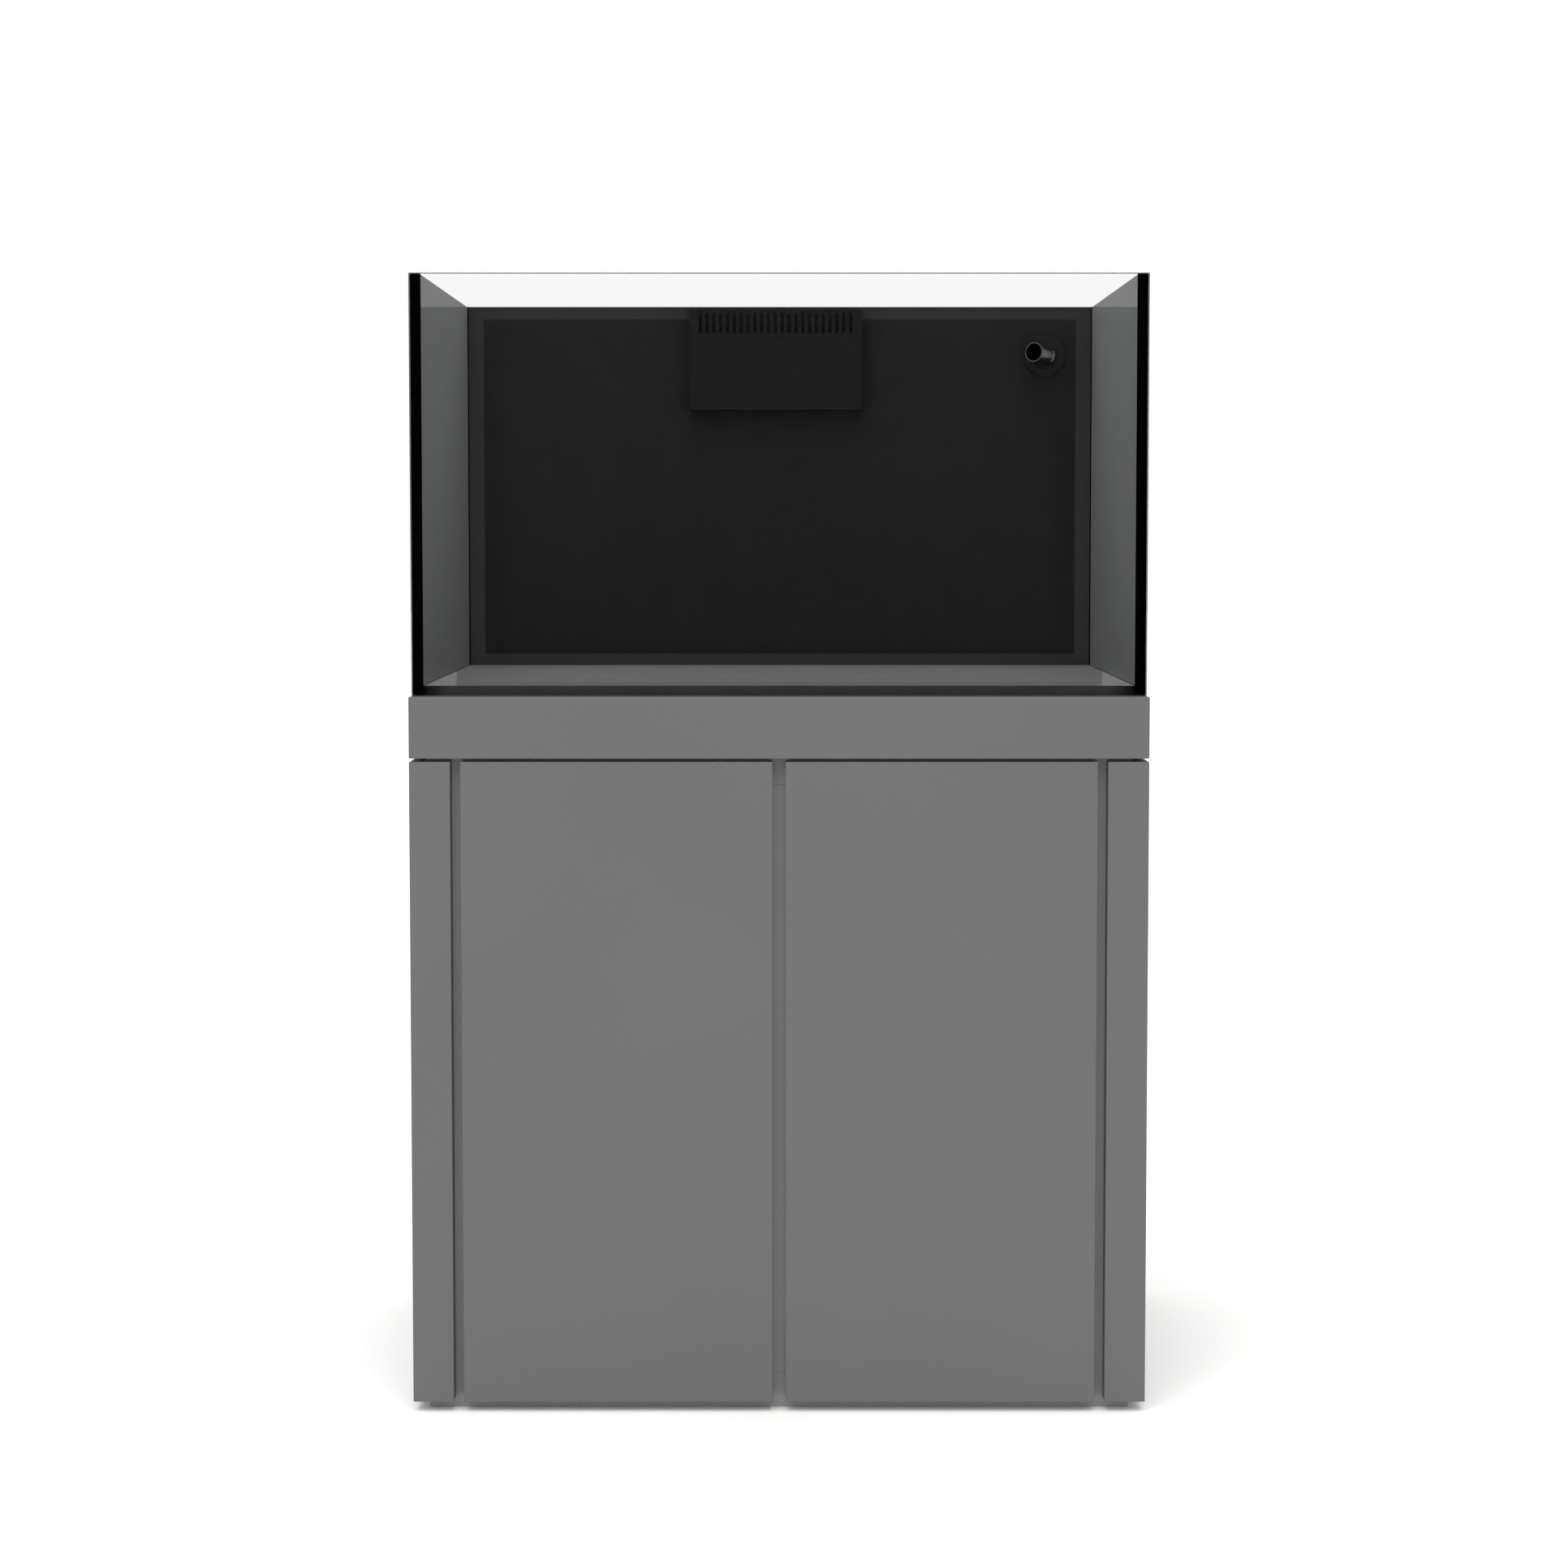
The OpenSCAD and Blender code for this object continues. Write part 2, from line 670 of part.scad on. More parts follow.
module emergency_drain() color(PVC) pipe([
    [emergency_x, pipe_y, emergency_top_z], [emergency_x, pipe_y, drain_entry_z],
    [emergency_x, leg_y, drain_entry_z], [emergency_x, leg_y, sump_in_z + 130]
], drain_r, drain_bend);

module gate_valve_body() color(PVC) difference() {
    union() {
        translate([main_x, leg_y, valve_z - valve_half]) cylinder(h = 2 * valve_half, r = valve_r);
        block([main_x - bonnet_w / 2, bonnet_y, valve_z - bonnet_h / 2],
            [main_x + bonnet_w / 2, leg_y, valve_z + bonnet_h / 2]);
        along_y(main_x, bonnet_y - 8, bonnet_y, valve_z, 10);
    }
    // Sockets for the pipes, and the waterway between them
    translate([main_x, leg_y, valve_z + 12]) cylinder(h = valve_half, r = drain_r);
    translate([main_x, leg_y, valve_z - 12 - valve_half]) cylinder(h = valve_half, r = drain_r);
    translate([main_x, leg_y, valve_z - 20]) cylinder(h = 40, r = drain_r - pipe_wall);
    // Chamber that the blade slides in
    half_w = blade_w / 2 + blade_play;
    half_t = blade_t / 2 + blade_play;
    block([main_x - half_w, blade_start_y - blade_len - 3, valve_z - half_t],
        [main_x + half_w, blade_start_y + blade_travel + 2, valve_z + half_t]);
    along_y(main_x, bonnet_y - 20, bonnet_y + 20, valve_z, stem_r + 0.06);
}

module gate_valve_blade() color(PVC) difference() {
    block([main_x - blade_w / 2, blade_start_y - blade_len, valve_z - blade_t / 2],
        [main_x + blade_w / 2, blade_start_y, valve_z + blade_t / 2]);
    along_y(main_x, blade_start_y - blade_len - 1, blade_start_y - 1, valve_z, stem_r + 0.4);
}

// Handwheel with finger scallops, on the stem that drives the blade
module gate_valve_wheel() color("#b02a22") difference() {
    union() {
        along_y(main_x, wheel_y, wheel_y + wheel_t, valve_z, wheel_r);
        along_y(main_x, wheel_y, bonnet_y - 8.3, valve_z, 8);
        along_y(main_x, wheel_y, blade_start_y - 4, valve_z, stem_r);
    }
    for (a = [0:45:315]) along_y(main_x + (wheel_r + 5) * cos(a), wheel_y - 1, wheel_y + wheel_t + 1,
        valve_z + (wheel_r + 5) * sin(a), 9);
    for (a = [22.5:90:315]) along_y(main_x + 16 * cos(a), wheel_y - 1, wheel_y + wheel_t + 1,
        valve_z + 16 * sin(a), 5);
}

// ---------------------------------------------------------------- return

module return_pipe() color(PVC) pipe([
    [pump_x, outlet_y, outlet_z - 20], [pump_x, outlet_y, return_exit_z],
    [return_x, outlet_y, return_exit_z], [return_x, pipe_y, return_exit_z],
    [return_x, pipe_y, return_z], [return_x, pane_y1 - glass_t + 4, return_z]
], return_r, return_bend);

module return_bulkhead() color(BLACK) difference() {
    union() {
        along_y(return_x, tank_y1 - flange_t - collar_len + 2, tank_y1, return_z, collar_r);
        along_y(return_x, tank_y1 - flange_t, tank_y1, return_z, flange_r);
        along_y(return_x, tank_y1 - 1, pipe_y - return_bend - sleeve_len, return_z, bulkhead_r - 4);
        along_y(return_x, pane_y1, pane_y1 + 9, return_z, bulkhead_r + 5);
    }
    along_y(return_x, tank_y1 - 40, tank_y1 + 2, return_z, nozzle_r + nozzle_play);
    along_y(return_x, tank_y1 + 1, pane_y1 + 40, return_z, return_r);
}

// The nozzle's tube with its elbow's ball: one straight in the collar and one to the mouth
module nozzle_tube(r, ball_r, extra) {
    rotate([-90, 0, 0]) cylinder(h = nozzle_elbow + collar_len + extra, r = r);
    sphere(r = ball_r);
    rotate([90, 0, -nozzle_angle]) cylinder(h = nozzle_len + extra, r = r);
}

// Bent nozzle that turns in the bulkhead's collar
module return_nozzle() color(BLACK)
    translate([return_x, nozzle_elbow_y, return_z]) rotate([0, nozzle_roll, 0]) difference() {
        nozzle_tube(nozzle_r, nozzle_r + nozzle_swell, 0);
        nozzle_tube(nozzle_r - nozzle_wall, nozzle_r - nozzle_wall + nozzle_swell / 2, 1);
    }

// ---------------------------------------------------------------- sump

module sump_tank() color(GLASS) difference() {
    block([-sump_x, sump_y0, sump_z0], [sump_x, sump_y1, sump_z1]);
    block([-sump_in_x, sump_in_y0, sump_in_z], [sump_in_x, sump_in_y1, sump_z1 + 1]);
}

// A pane across the sump
module baffle(x, z0, z1) {
    block([x, sump_in_y0, z0], [x + sump_t, sump_in_y1, z1]);
}

module sump_baffles() color(GLASS) {
    step = baffle_gap + sump_t;
    // Divider under the sock tray, with a gap at its foot for the water
    baffle(divider_x, sump_in_z + 40, tray_z);
    // Bubble trap in front of the pump: over, under and over
    baffle(pump_wall_x - sump_t - 2 * step, sump_in_z, tray_z - 50);
    baffle(pump_wall_x - sump_t - step, sump_in_z + 30, tray_z);
    baffle(pump_wall_x - sump_t, sump_in_z, tray_z - 80);
    // Ledge for the tray on the sump's left pane
    block([-sump_in_x, sump_in_y0, tray_z - 8], [-sump_in_x + 8, sump_in_y1, tray_z]);
}

module sock_tray() color(BLACK) difference() {
    x0 = -sump_in_x + 1;
    x1 = divider_x + sump_t;
    y0 = sump_in_y0 + 1;
    y1 = sump_in_y1 - 1;
    block([x0, y0, tray_z], [x1, y1, tray_z + tray_t + tray_rim]);
    block([x0 + tray_wall, y0 + tray_wall, tray_z + tray_t],
        [x1 - tray_wall, y1 - tray_wall, tray_z + 100]);
    for (y = [front_sock_y, rear_sock_y]) translate([sock_x, y, tray_z - 1])
        cylinder(h = tray_t + 2, r = sock_hole_r);
}

// Moulded ring that hangs a sock in the tray
module sock_ring(y) color(BLACK) translate([sock_x, y, tray_z + tray_t + 0.2]) difference() {
    union() {
        cylinder(h = 4, r = sock_ring_r);
        translate([0, 0, -18]) cylinder(h = 18, r = sock_neck_r);
    }
    translate([0, 0, -19]) cylinder(h = 30, r = sock_neck_r - 3);
}

module sock_bag(y) color(FELT) translate([sock_x, y, tray_z + tray_t]) difference() {
    translate([0, 0, -sock_len]) cylinder(h = sock_len, r = sock_bag_r);
    translate([0, 0, -sock_len + 3]) cylinder(h = sock_len, r = sock_neck_r);
}

// ---------------------------------------------------------------- pump

module return_pump() color(BLACK) difference() {
    y1 = volute_y + volute_len;
    union() {
        along_y(pump_x, volute_y, y1, pump_z, volute_r);
        along_y(pump_x, y1, y1 + motor_len, pump_z, pump_r);
        // Outlet, and the union nut on the return pipe
        translate([pump_x, outlet_y, pump_z]) cylinder(h = outlet_z - pump_z, r = return_r + 2);
        translate([pump_x, outlet_y, outlet_z - 22]) cylinder(h = 18, r = return_r + 7, $fn = 8);
        // Feet
        for (y = [volute_y + 6, y1 + motor_len - 16]) for (s = [-1, 1])
            block([pump_x + s * 22 - 6, y, sump_in_z], [pump_x + s * 22 + 6, y + 10, pump_z - 14]);
        // Cable gland
        along_y(pump_x, y1 + motor_len, y1 + motor_len + 12, pump_z + 16, 7);
    }
    along_y(pump_x, volute_y - 1, y1 - 4, pump_z, impeller_r + 6);
    along_y(pump_x, y1 - 6, y1 + motor_len - 10, pump_z, 15);
    along_y(pump_x, y1 + motor_len - 12, y1 + motor_len - 4, pump_z, 4.06);
    translate([pump_x, outlet_y, pump_z + 20]) cylinder(h = 200, r = return_r - 2);
    translate([pump_x, outlet_y, outlet_z - 20]) cylinder(h = 40, r = return_r);
    along_y(pump_x, y1 + motor_len - 6, y1 + motor_len + 14, pump_z + 16, 3);
}

// Slotted cup over the pump's inlet
module pump_strainer() color(BLACK) difference() {
    y0 = volute_y - strainer_len;
    along_y(pump_x, y0, volute_y, pump_z, impeller_r + 6);
    along_y(pump_x, y0 + 3, volute_y - 3, pump_z, impeller_r + 3);
    along_y(pump_x, volute_y - 5, volute_y + 1, pump_z, 14);
    for (a = [0:30:150]) translate([pump_x, 0, pump_z]) rotate([0, a, 0])
        block([-60, y0 + 8, -2.5], [60, volute_y - 8, 2.5]);
}

// Impeller with curved vanes on its magnet and shaft
module pump_impeller() color("#e6e6e6") {
    y1 = volute_y + volute_len;
    along_y(pump_x, y1 - 9, y1 - 6, pump_z, impeller_r);
    along_y(pump_x, y1 - 7, y1 + motor_len - 14, pump_z, 13.5);
    along_y(pump_x, volute_y + 6, y1 + motor_len - 6, pump_z, 4);
    for (a = [0:60:300]) translate([pump_x, 0, pump_z]) rotate([0, a, 0])
        block([3, volute_y + 10, -1.2], [impeller_r - 1, y1 - 8, 1.2]);
}

// ---------------------------------------------------------------- assembly

bottom_board();
carcass_side(-1);  // left_carcass_side
carcass_side(1);  // right_carcass_side
back_panel();
top_board();
post(-1);  // left_post
post(1);  // right_post
centre_post();
top_rail();
bottom_rail();
side_board(-1);  // left_side_board
side_board(1);  // right_side_board
stile(-1);  // left_stile
stile(1);  // right_stile
crown_front();
crown_side(-1);  // crown_left
crown_side(1);  // crown_right
crown_back();
door(-1);  // left_door
door(1);  // right_door
hinge_cups(-1);  // left_hinge_cups
hinge_cups(1);  // right_hinge_cups
hinge_pins(-1);  // left_hinge_pins
hinge_pins(1);  // right_hinge_pins
hinge_arms();
hinge_plates();
door_bumpers();
cabinet_screws();
cable_grommet();
front_pane();
side_pane(-1);  // left_pane
side_pane(1);  // right_pane
back_pane();
bottom_pane();
silicone_seams();
weir_box();
weir_comb();
overflow_box();
overflow_lid();
overflow_unions();
drain_bulkheads();
main_drain_upper();
main_drain_lower();
emergency_drain();
return_pipe();
return_bulkhead();
return_nozzle();
gate_valve_body();
gate_valve_blade();
gate_valve_wheel();
sump_tank();
sump_baffles();
sock_tray();
sock_ring(front_sock_y);  // front_sock_ring
sock_bag(front_sock_y);  // front_sock_bag
sock_ring(rear_sock_y);  // rear_sock_ring
sock_bag(rear_sock_y);  // rear_sock_bag
return_pump();
pump_strainer();
pump_impeller();
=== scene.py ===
# %% [markdown]
# # An aquarium on its cabinet
# The object is a rimless glass tank on a lacquered two-door cabinet, with a sump, a pump and the
# pipes between them inside. Its shapes are finished already: they come as one mesh per part, in
# metres. What is left for Blender is how each part looks, two soft filter bags, the light and
# the camera.

# %% Load the parts
import math

import bmesh
import bpy
from mathutils import Matrix, Vector


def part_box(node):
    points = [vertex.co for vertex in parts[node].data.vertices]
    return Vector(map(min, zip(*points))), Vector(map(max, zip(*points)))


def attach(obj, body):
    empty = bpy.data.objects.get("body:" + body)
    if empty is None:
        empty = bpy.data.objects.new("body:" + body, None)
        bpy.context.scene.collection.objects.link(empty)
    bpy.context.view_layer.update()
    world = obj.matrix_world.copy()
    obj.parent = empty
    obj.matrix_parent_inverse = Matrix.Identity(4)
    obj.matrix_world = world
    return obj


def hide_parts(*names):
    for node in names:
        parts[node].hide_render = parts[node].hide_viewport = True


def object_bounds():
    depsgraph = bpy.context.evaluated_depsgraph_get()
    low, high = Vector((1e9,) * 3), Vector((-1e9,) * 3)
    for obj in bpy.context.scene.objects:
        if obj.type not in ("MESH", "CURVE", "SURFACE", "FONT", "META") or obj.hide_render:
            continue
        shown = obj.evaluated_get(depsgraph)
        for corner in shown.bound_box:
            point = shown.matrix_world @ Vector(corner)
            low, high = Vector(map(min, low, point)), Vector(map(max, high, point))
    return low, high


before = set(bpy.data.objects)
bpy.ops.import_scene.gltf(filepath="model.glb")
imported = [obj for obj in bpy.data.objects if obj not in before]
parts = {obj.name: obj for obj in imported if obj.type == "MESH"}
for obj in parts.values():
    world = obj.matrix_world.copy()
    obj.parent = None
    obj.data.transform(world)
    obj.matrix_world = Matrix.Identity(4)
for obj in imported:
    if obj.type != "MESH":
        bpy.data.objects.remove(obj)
cad_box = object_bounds()

# %% [markdown]
# ## Three small tools
# Blender counts in metres, but glass, board and thread are measured in millimetres, so `mm`
# turns one into the other. A colour picked on a screen is stored on a curve, and a shader wants
# plain amounts of light, so `colour` undoes that curve. `add` puts one node in a material,
# sets it and wires it, whatever kind of node it is.

# %% Millimetres and colours
def mm(length):
    return length / 1000


def colour(text):
    channels = [int(text[i:i + 2], 16) / 255 for i in (1, 3, 5)]
    return [c / 12.92 if c <= 0.04045 else ((c + 0.055) / 1.055) ** 2.4 for c in channels] + [1.0]


print("18 mm is", mm(18), "m; mid grey is", [round(c, 3) for c in colour("#808080")])

# %% Materials and their nodes
def material(name):
    made = bpy.data.materials.new(name)
    made.use_nodes = True
    made.node_tree.nodes.clear()
    return made, made.node_tree


def add(tree, kind, inputs=None, **settings):
    made = tree.nodes.new("ShaderNode" + kind)
    for key, value in settings.items():
        setattr(made, key, value)
    for key, value in (inputs or {}).items():
        if isinstance(value, bpy.types.NodeSocket):
            tree.links.new(value, made.inputs[key])
        else:
            made.inputs[key].default_value = value
    return made


# %% [markdown]
# ## The camera
# A camera that looks down makes upright edges lean. A studio camera keeps them upright: it stays
# nearly level, and its view slides down behind the lens, which is what `shift_y` does. The shift
# is kept small, and a small tilt does the rest. A long lens from 3 m away keeps the parallel
# edges of the tank nearly parallel.

# %% Camera
eye = Vector((0.006, -3.426, 1.090))
pitch = math.radians(2.99)
lens = bpy.data.cameras.new("camera")
lens.sensor_width = 36
lens.lens = 58.96
lens.shift_y = -0.078
camera = bpy.data.objects.new("camera", lens)
camera.matrix_world = Matrix.Translation(eye) @ Matrix.Rotation(math.pi / 2 - pitch, 4, "X")
bpy.context.scene.collection.objects.link(camera)
bpy.context.scene.camera = camera
print("camera", round(cad_box[0][1] - eye.y, 3), "m in front, tilted",
      round(math.degrees(pitch), 2), "degrees")

# %% [markdown]
# ## Light and floor
# White goods are shot in a white tent, where light comes evenly from everywhere. A white world
# does the same. A tent alone makes every side equally bright and the shape goes flat, so two
# soft lamps are added. One is wide and far above, a little to the front left, and lights the
# whole floor; a Sun lamp with a large angle does that. The other is a softbox at the front left.
# The Standard view transform adds no film curve, so white stays white.

# %% World and view
scene = bpy.context.scene
scene.view_settings.view_transform = "Standard"
world = bpy.data.worlds.new("white_tent")
world.use_nodes = True
world.node_tree.nodes["Background"].inputs["Color"].default_value = (1, 1, 1, 1)
world.node_tree.nodes["Background"].inputs["Strength"].default_value = 1.0
scene.world = world
print("view transform:", scene.view_settings.view_transform, " world:", world.name)

# %% Two soft lamps
middle = (Vector(cad_box[0]) + Vector(cad_box[1])) / 2


def hang_lamp(name, kind, strength, aim):
    lamp = bpy.data.lights.new(name, kind)
    lamp.energy = strength
    hung = bpy.data.objects.new(name, lamp)
    hung.rotation_euler = aim.to_track_quat("-Z", "Y").to_euler()
    scene.collection.objects.link(hung)
    return hung


softbox_place = Vector((-2.6, -3.6, 3.4))
softbox = hang_lamp("front_softbox", "AREA", 30, middle - softbox_place)
softbox.location = softbox_place
softbox.data.size = 2.4
top_light = hang_lamp("top_light", "SUN", 1.4, Vector((0.04, 0.45, -1)))
top_light.data.angle = math.radians(50)
print("the softbox looks at", [round(v, 3) for v in middle])

# %% The floor
half = 30                     # metres, far enough for its edge to be lost in the white
floor_mesh = bpy.data.meshes.new("floor")
corners = [(-half, -half, 0), (half, -half, 0), (half, half, 0), (-half, half, 0)]
floor_mesh.from_pydata(corners, [], [(0, 1, 2, 3)])
floor = bpy.data.objects.new("floor", floor_mesh)
scene.collection.objects.link(floor)
print("floor", 2 * half, "m square")

# %% [markdown]
# The floor is a roll of matt white paper. Paper scatters nearly all the light that falls on it
# and mirrors almost none, so the only thing seen on it is the soft shadow of the cabinet. Its
# fibres are far too fine to show. They are drawn as a grain of 4 mm with hardly any height.

# %% Paper
paper, tree = material("matt_white_paper")
place = add(tree, "TexCoord").outputs["Object"]
grain = add(tree, "TexNoise", {"Vector": place, "Scale": 1 / mm(4), "Detail": 3.0})
relief = add(tree, "Bump", {"Height": grain.outputs["Fac"], "Distance": mm(0.05)})
shade = add(tree, "BsdfPrincipled", {
    "Base Color": colour("#F6F6F5"), "Roughness": 0.9, "Specular IOR Level": 0.1,
    "Normal": relief.outputs["Normal"]})
add(tree, "OutputMaterial", {"Surface": shade.outputs[0]})
floor_mesh.materials.append(paper)
print("made", paper.name)

# %% [markdown]
# ## Lacquered board
# The doors, the crown and the side panels are fibreboard sprayed with a two-part lacquer and
# rubbed down. To the eye that is one calm grey with a low sheen. Close up it has a faint orange
# peel where the wet lacquer drew together, about 2 mm across. It is drawn 5 mm across here so
# that it still shows at arm's length. The sheen varies a little where hands wipe it.

# %% Sprayed lacquer
def sprayed_lacquer(name, grey, peel, sheen):
    made, tree = material(name)
    place = add(tree, "TexCoord").outputs["Object"]
    cloud = add(tree, "TexNoise", {"Vector": place, "Scale": 1 / mm(260), "Detail": 2.0})
    fleck = add(tree, "TexNoise", {"Vector": place, "Scale": 1 / mm(1.6), "Detail": 1.0})
    both = add(tree, "Math", {0: cloud.outputs["Fac"], 1: fleck.outputs["Fac"]}, operation="ADD")
    tone = add(tree, "ValToRGB", {"Fac": add(tree, "Math", {0: both.outputs[0], 1: 0.5},
                                             operation="MULTIPLY").outputs[0]})
    tone.color_ramp.elements[0].position = 0.3
    tone.color_ramp.elements[1].position = 0.7
    tone.color_ramp.elements[0].color = colour(grey[0])
    tone.color_ramp.elements[1].color = colour(grey[1])
    rub = add(tree, "MapRange", {"Value": cloud.outputs["Fac"], "From Min": 0.3, "From Max": 0.7,
                                 "To Min": sheen - 0.04, "To Max": sheen + 0.04})
    skin = add(tree, "TexNoise", {"Vector": place, "Scale": 1 / mm(peel), "Detail": 1.5})
    relief = add(tree, "Bump", {"Height": skin.outputs["Fac"], "Distance": mm(0.06),
                                "Strength": 0.6})
    shade = add(tree, "BsdfPrincipled", {
        "Base Color": tone.outputs["Color"], "Roughness": rub.outputs["Result"], "IOR": 1.5,
        "Specular IOR Level": 0.35, "Normal": relief.outputs["Normal"]})
    add(tree, "OutputMaterial", {"Surface": shade.outputs[0]})
    return made


lacquer = sprayed_lacquer("two_part_lacquer_on_mdf", ("#5B5B5C", "#5F5F60"), 5, 0.48)
print("made", lacquer.name)

# %% [markdown]
# ## Board that stays inside
# The carcass and the frame behind the doors are board with a pressed melamine face. It is given
# a paler grey than the lacquer as painted light: the lighter colour stands in for light in the
# grooves beside the doors and the inside of the cabinet, which would otherwise go dark in their
# shade.
# The press plate leaves a dry, pebbled skin, so it mirrors less and scatters more. The same
# function makes it, with a larger pebble and a rougher sheen.

# %% Pressed melamine
# Painted light: these greys are lighter than the lacquer's to lift the shaded grooves and the
# inside of the cabinet.
melamine = sprayed_lacquer("pressed_melamine_board", ("#878787", "#8D8D8D"), 7, 0.62)
print("made", melamine.name)

# %% [markdown]
# ## Clear glass
# A pane could be a solid that bends light. That is slow, grainy and hardly different here,
# because light that enters a flat pane leaves it in the same direction. So each surface lets
# most light straight through and mirrors a little. Both depend on the angle: looked at flat on,
# a pane is nearly invisible. Looked at along its face it mirrors more, and there it becomes a
# plain scattering surface of painted grey. That grey stands in for the mirrored inside of the
# tank and the dimmed light that still comes through. `Layer Weight` gives that angle, from 0 flat
# on to 1 along the face. The bottom pane also has a painted reflection: a lighter grey wedge at
# each front corner, fixed on the pane. It takes the place of the side panes' reflection seen
# there, and `wedge` adds it.

# %% The face of a clear pane
def pane_face(tree, place, along, mirror, wedge):
    angle = add(tree, "LayerWeight", {"Blend": 0.5}).outputs["Facing"]
    steep = add(tree, "MapRange", {"Value": angle, "From Min": 0.6, "From Max": 0.86},
                interpolation_type="SMOOTHSTEP")
    wipe = add(tree, "TexNoise", {"Vector": place.outputs["Object"], "Scale": 1 / mm(90),
                                  "Detail": 3.0})
    haze = add(tree, "MapRange", {"Value": wipe.outputs["Fac"], "From Min": 0.35, "From Max": 0.65,
                                  "To Min": 0.01, "To Max": 0.03})
    gloss = add(tree, "BsdfAnisotropic", {"Color": (1, 1, 1, 1),
                                          "Roughness": haze.outputs["Result"]})
    clear = add(tree, "BsdfTransparent", {"Color": colour("#FBFBFB")})
    # Painted reflection: along its face the pane shows this flat grey, which stands in for the
    # mirrored inside of the tank and the dimmed light coming through.
    body = add(tree, "BsdfDiffuse", {"Color": colour(along)})
    # Painted reflection: a lighter grey wedge at each front corner, placed by the pane's own
    # coordinates.
    if wedge:
        slope, start, bright = wedge
        axes = add(tree, "SeparateXYZ", {0: place.outputs["Object"]})
        side = add(tree, "Math", {0: axes.outputs[0]}, operation="ABSOLUTE")
        skew = add(tree, "Math", {0: axes.outputs[1], 1: slope}, operation="MULTIPLY")
        past = add(tree, "Math", {0: side.outputs[0], 1: skew.outputs[0]}, operation="SUBTRACT")
        patch = add(tree, "MapRange", {"Value": past.outputs[0], "From Min": start,
                                       "From Max": start + mm(2)})
        painted_wedge_reflection = add(tree, "Mix", {0: patch.outputs["Result"], 6: colour(along),
                                 7: colour(bright)}, data_type="RGBA")
        tree.links.new(painted_wedge_reflection.outputs[2], body.inputs["Color"])
    glass = add(tree, "MixShader", {0: steep.outputs["Result"], 1: clear.outputs[0],
                                    2: body.outputs[0]})
    late = add(tree, "Math", {0: angle, 1: 4.0}, operation="POWER")
    share = add(tree, "Math", {0: late.outputs[0], 1: mirror}, operation="MULTIPLY")
    return add(tree, "MixShader", {0: share.outputs[0], 1: glass.outputs[0],
                                   2: gloss.outputs[0]}).outputs[0]


# %% [markdown]
# The four edges of a pane are ground with a belt and then polished, which leaves a fine etched
# surface. Light that has run inside the pane leaks out there, so an edge looks like frosted
# grey glass, a little green. It covers three quarters of what is behind it.

# %% The ground edge
def pane_edge(tree, place):
    belt = add(tree, "TexNoise", {"Vector": place.outputs["Object"], "Scale": 1 / mm(3)})
    etch = add(tree, "Bump", {"Height": belt.outputs["Fac"], "Distance": mm(0.05)})
    frost = add(tree, "BsdfPrincipled", {"Base Color": colour("#5D6865"), "Roughness": 0.25,
                                         "IOR": 1.52, "Normal": etch.outputs["Normal"]})
    leak = add(tree, "BsdfTransparent", {"Color": colour("#C9D2CE")})
    return add(tree, "MixShader", {0: 0.75, 1: leak.outputs[0], 2: frost.outputs[0]}).outputs[0]


# %% [markdown]
# Face and edge come together in one material. The pane's thin direction tells them apart: where
# the surface points that way it is face, and everywhere else it is edge.

# %% Clear panes
def clear_pane(name, thin, along, mirror, wedge=None):
    made, tree = material(name)
    place = add(tree, "TexCoord")
    face = pane_face(tree, place, along, mirror, wedge)
    edge = pane_edge(tree, place)
    axes = add(tree, "SeparateXYZ", {0: place.outputs["Normal"]})
    turned = add(tree, "Math", {0: axes.outputs["XYZ".index(thin)]}, operation="ABSOLUTE")
    on_face = add(tree, "Math", {0: turned.outputs[0], 1: 0.92}, operation="GREATER_THAN")
    shade = add(tree, "MixShader", {0: on_face.outputs[0], 1: edge, 2: face})
    add(tree, "OutputMaterial", {"Surface": shade.outputs[0]})
    return made


# The wedge is a painted reflection of the side panes on the bottom pane.
painted_corner_reflection = (0.123, 0.430, "#7F7F7F")     # slope, metres from the middle, brighter grey
# The grey given to each pane below is the painted grey it shows along its face, in place of its
# reflection and see-through light.
front_glass = clear_pane("low_iron_glass_front", "Y", "#8C908E", 0.17)
side_glass = clear_pane("low_iron_glass_sides", "X", "#717272", 0.16)
floor_glass = clear_pane("low_iron_glass_floor", "Z", "#646464", 0.07, painted_corner_reflection)
print("clear panes:", front_glass.name, side_glass.name, floor_glass.name)

# %% [markdown]
# ## Float glass of the sump
# The sump is plain window glass, which holds more iron, so it is greener than the show tank. Its
# walls and baffles stand in all directions and are made in two nodes, so one material has to
# tell faces from edges by itself: here every surface counts as a face, and the green comes in
# sooner with the angle.

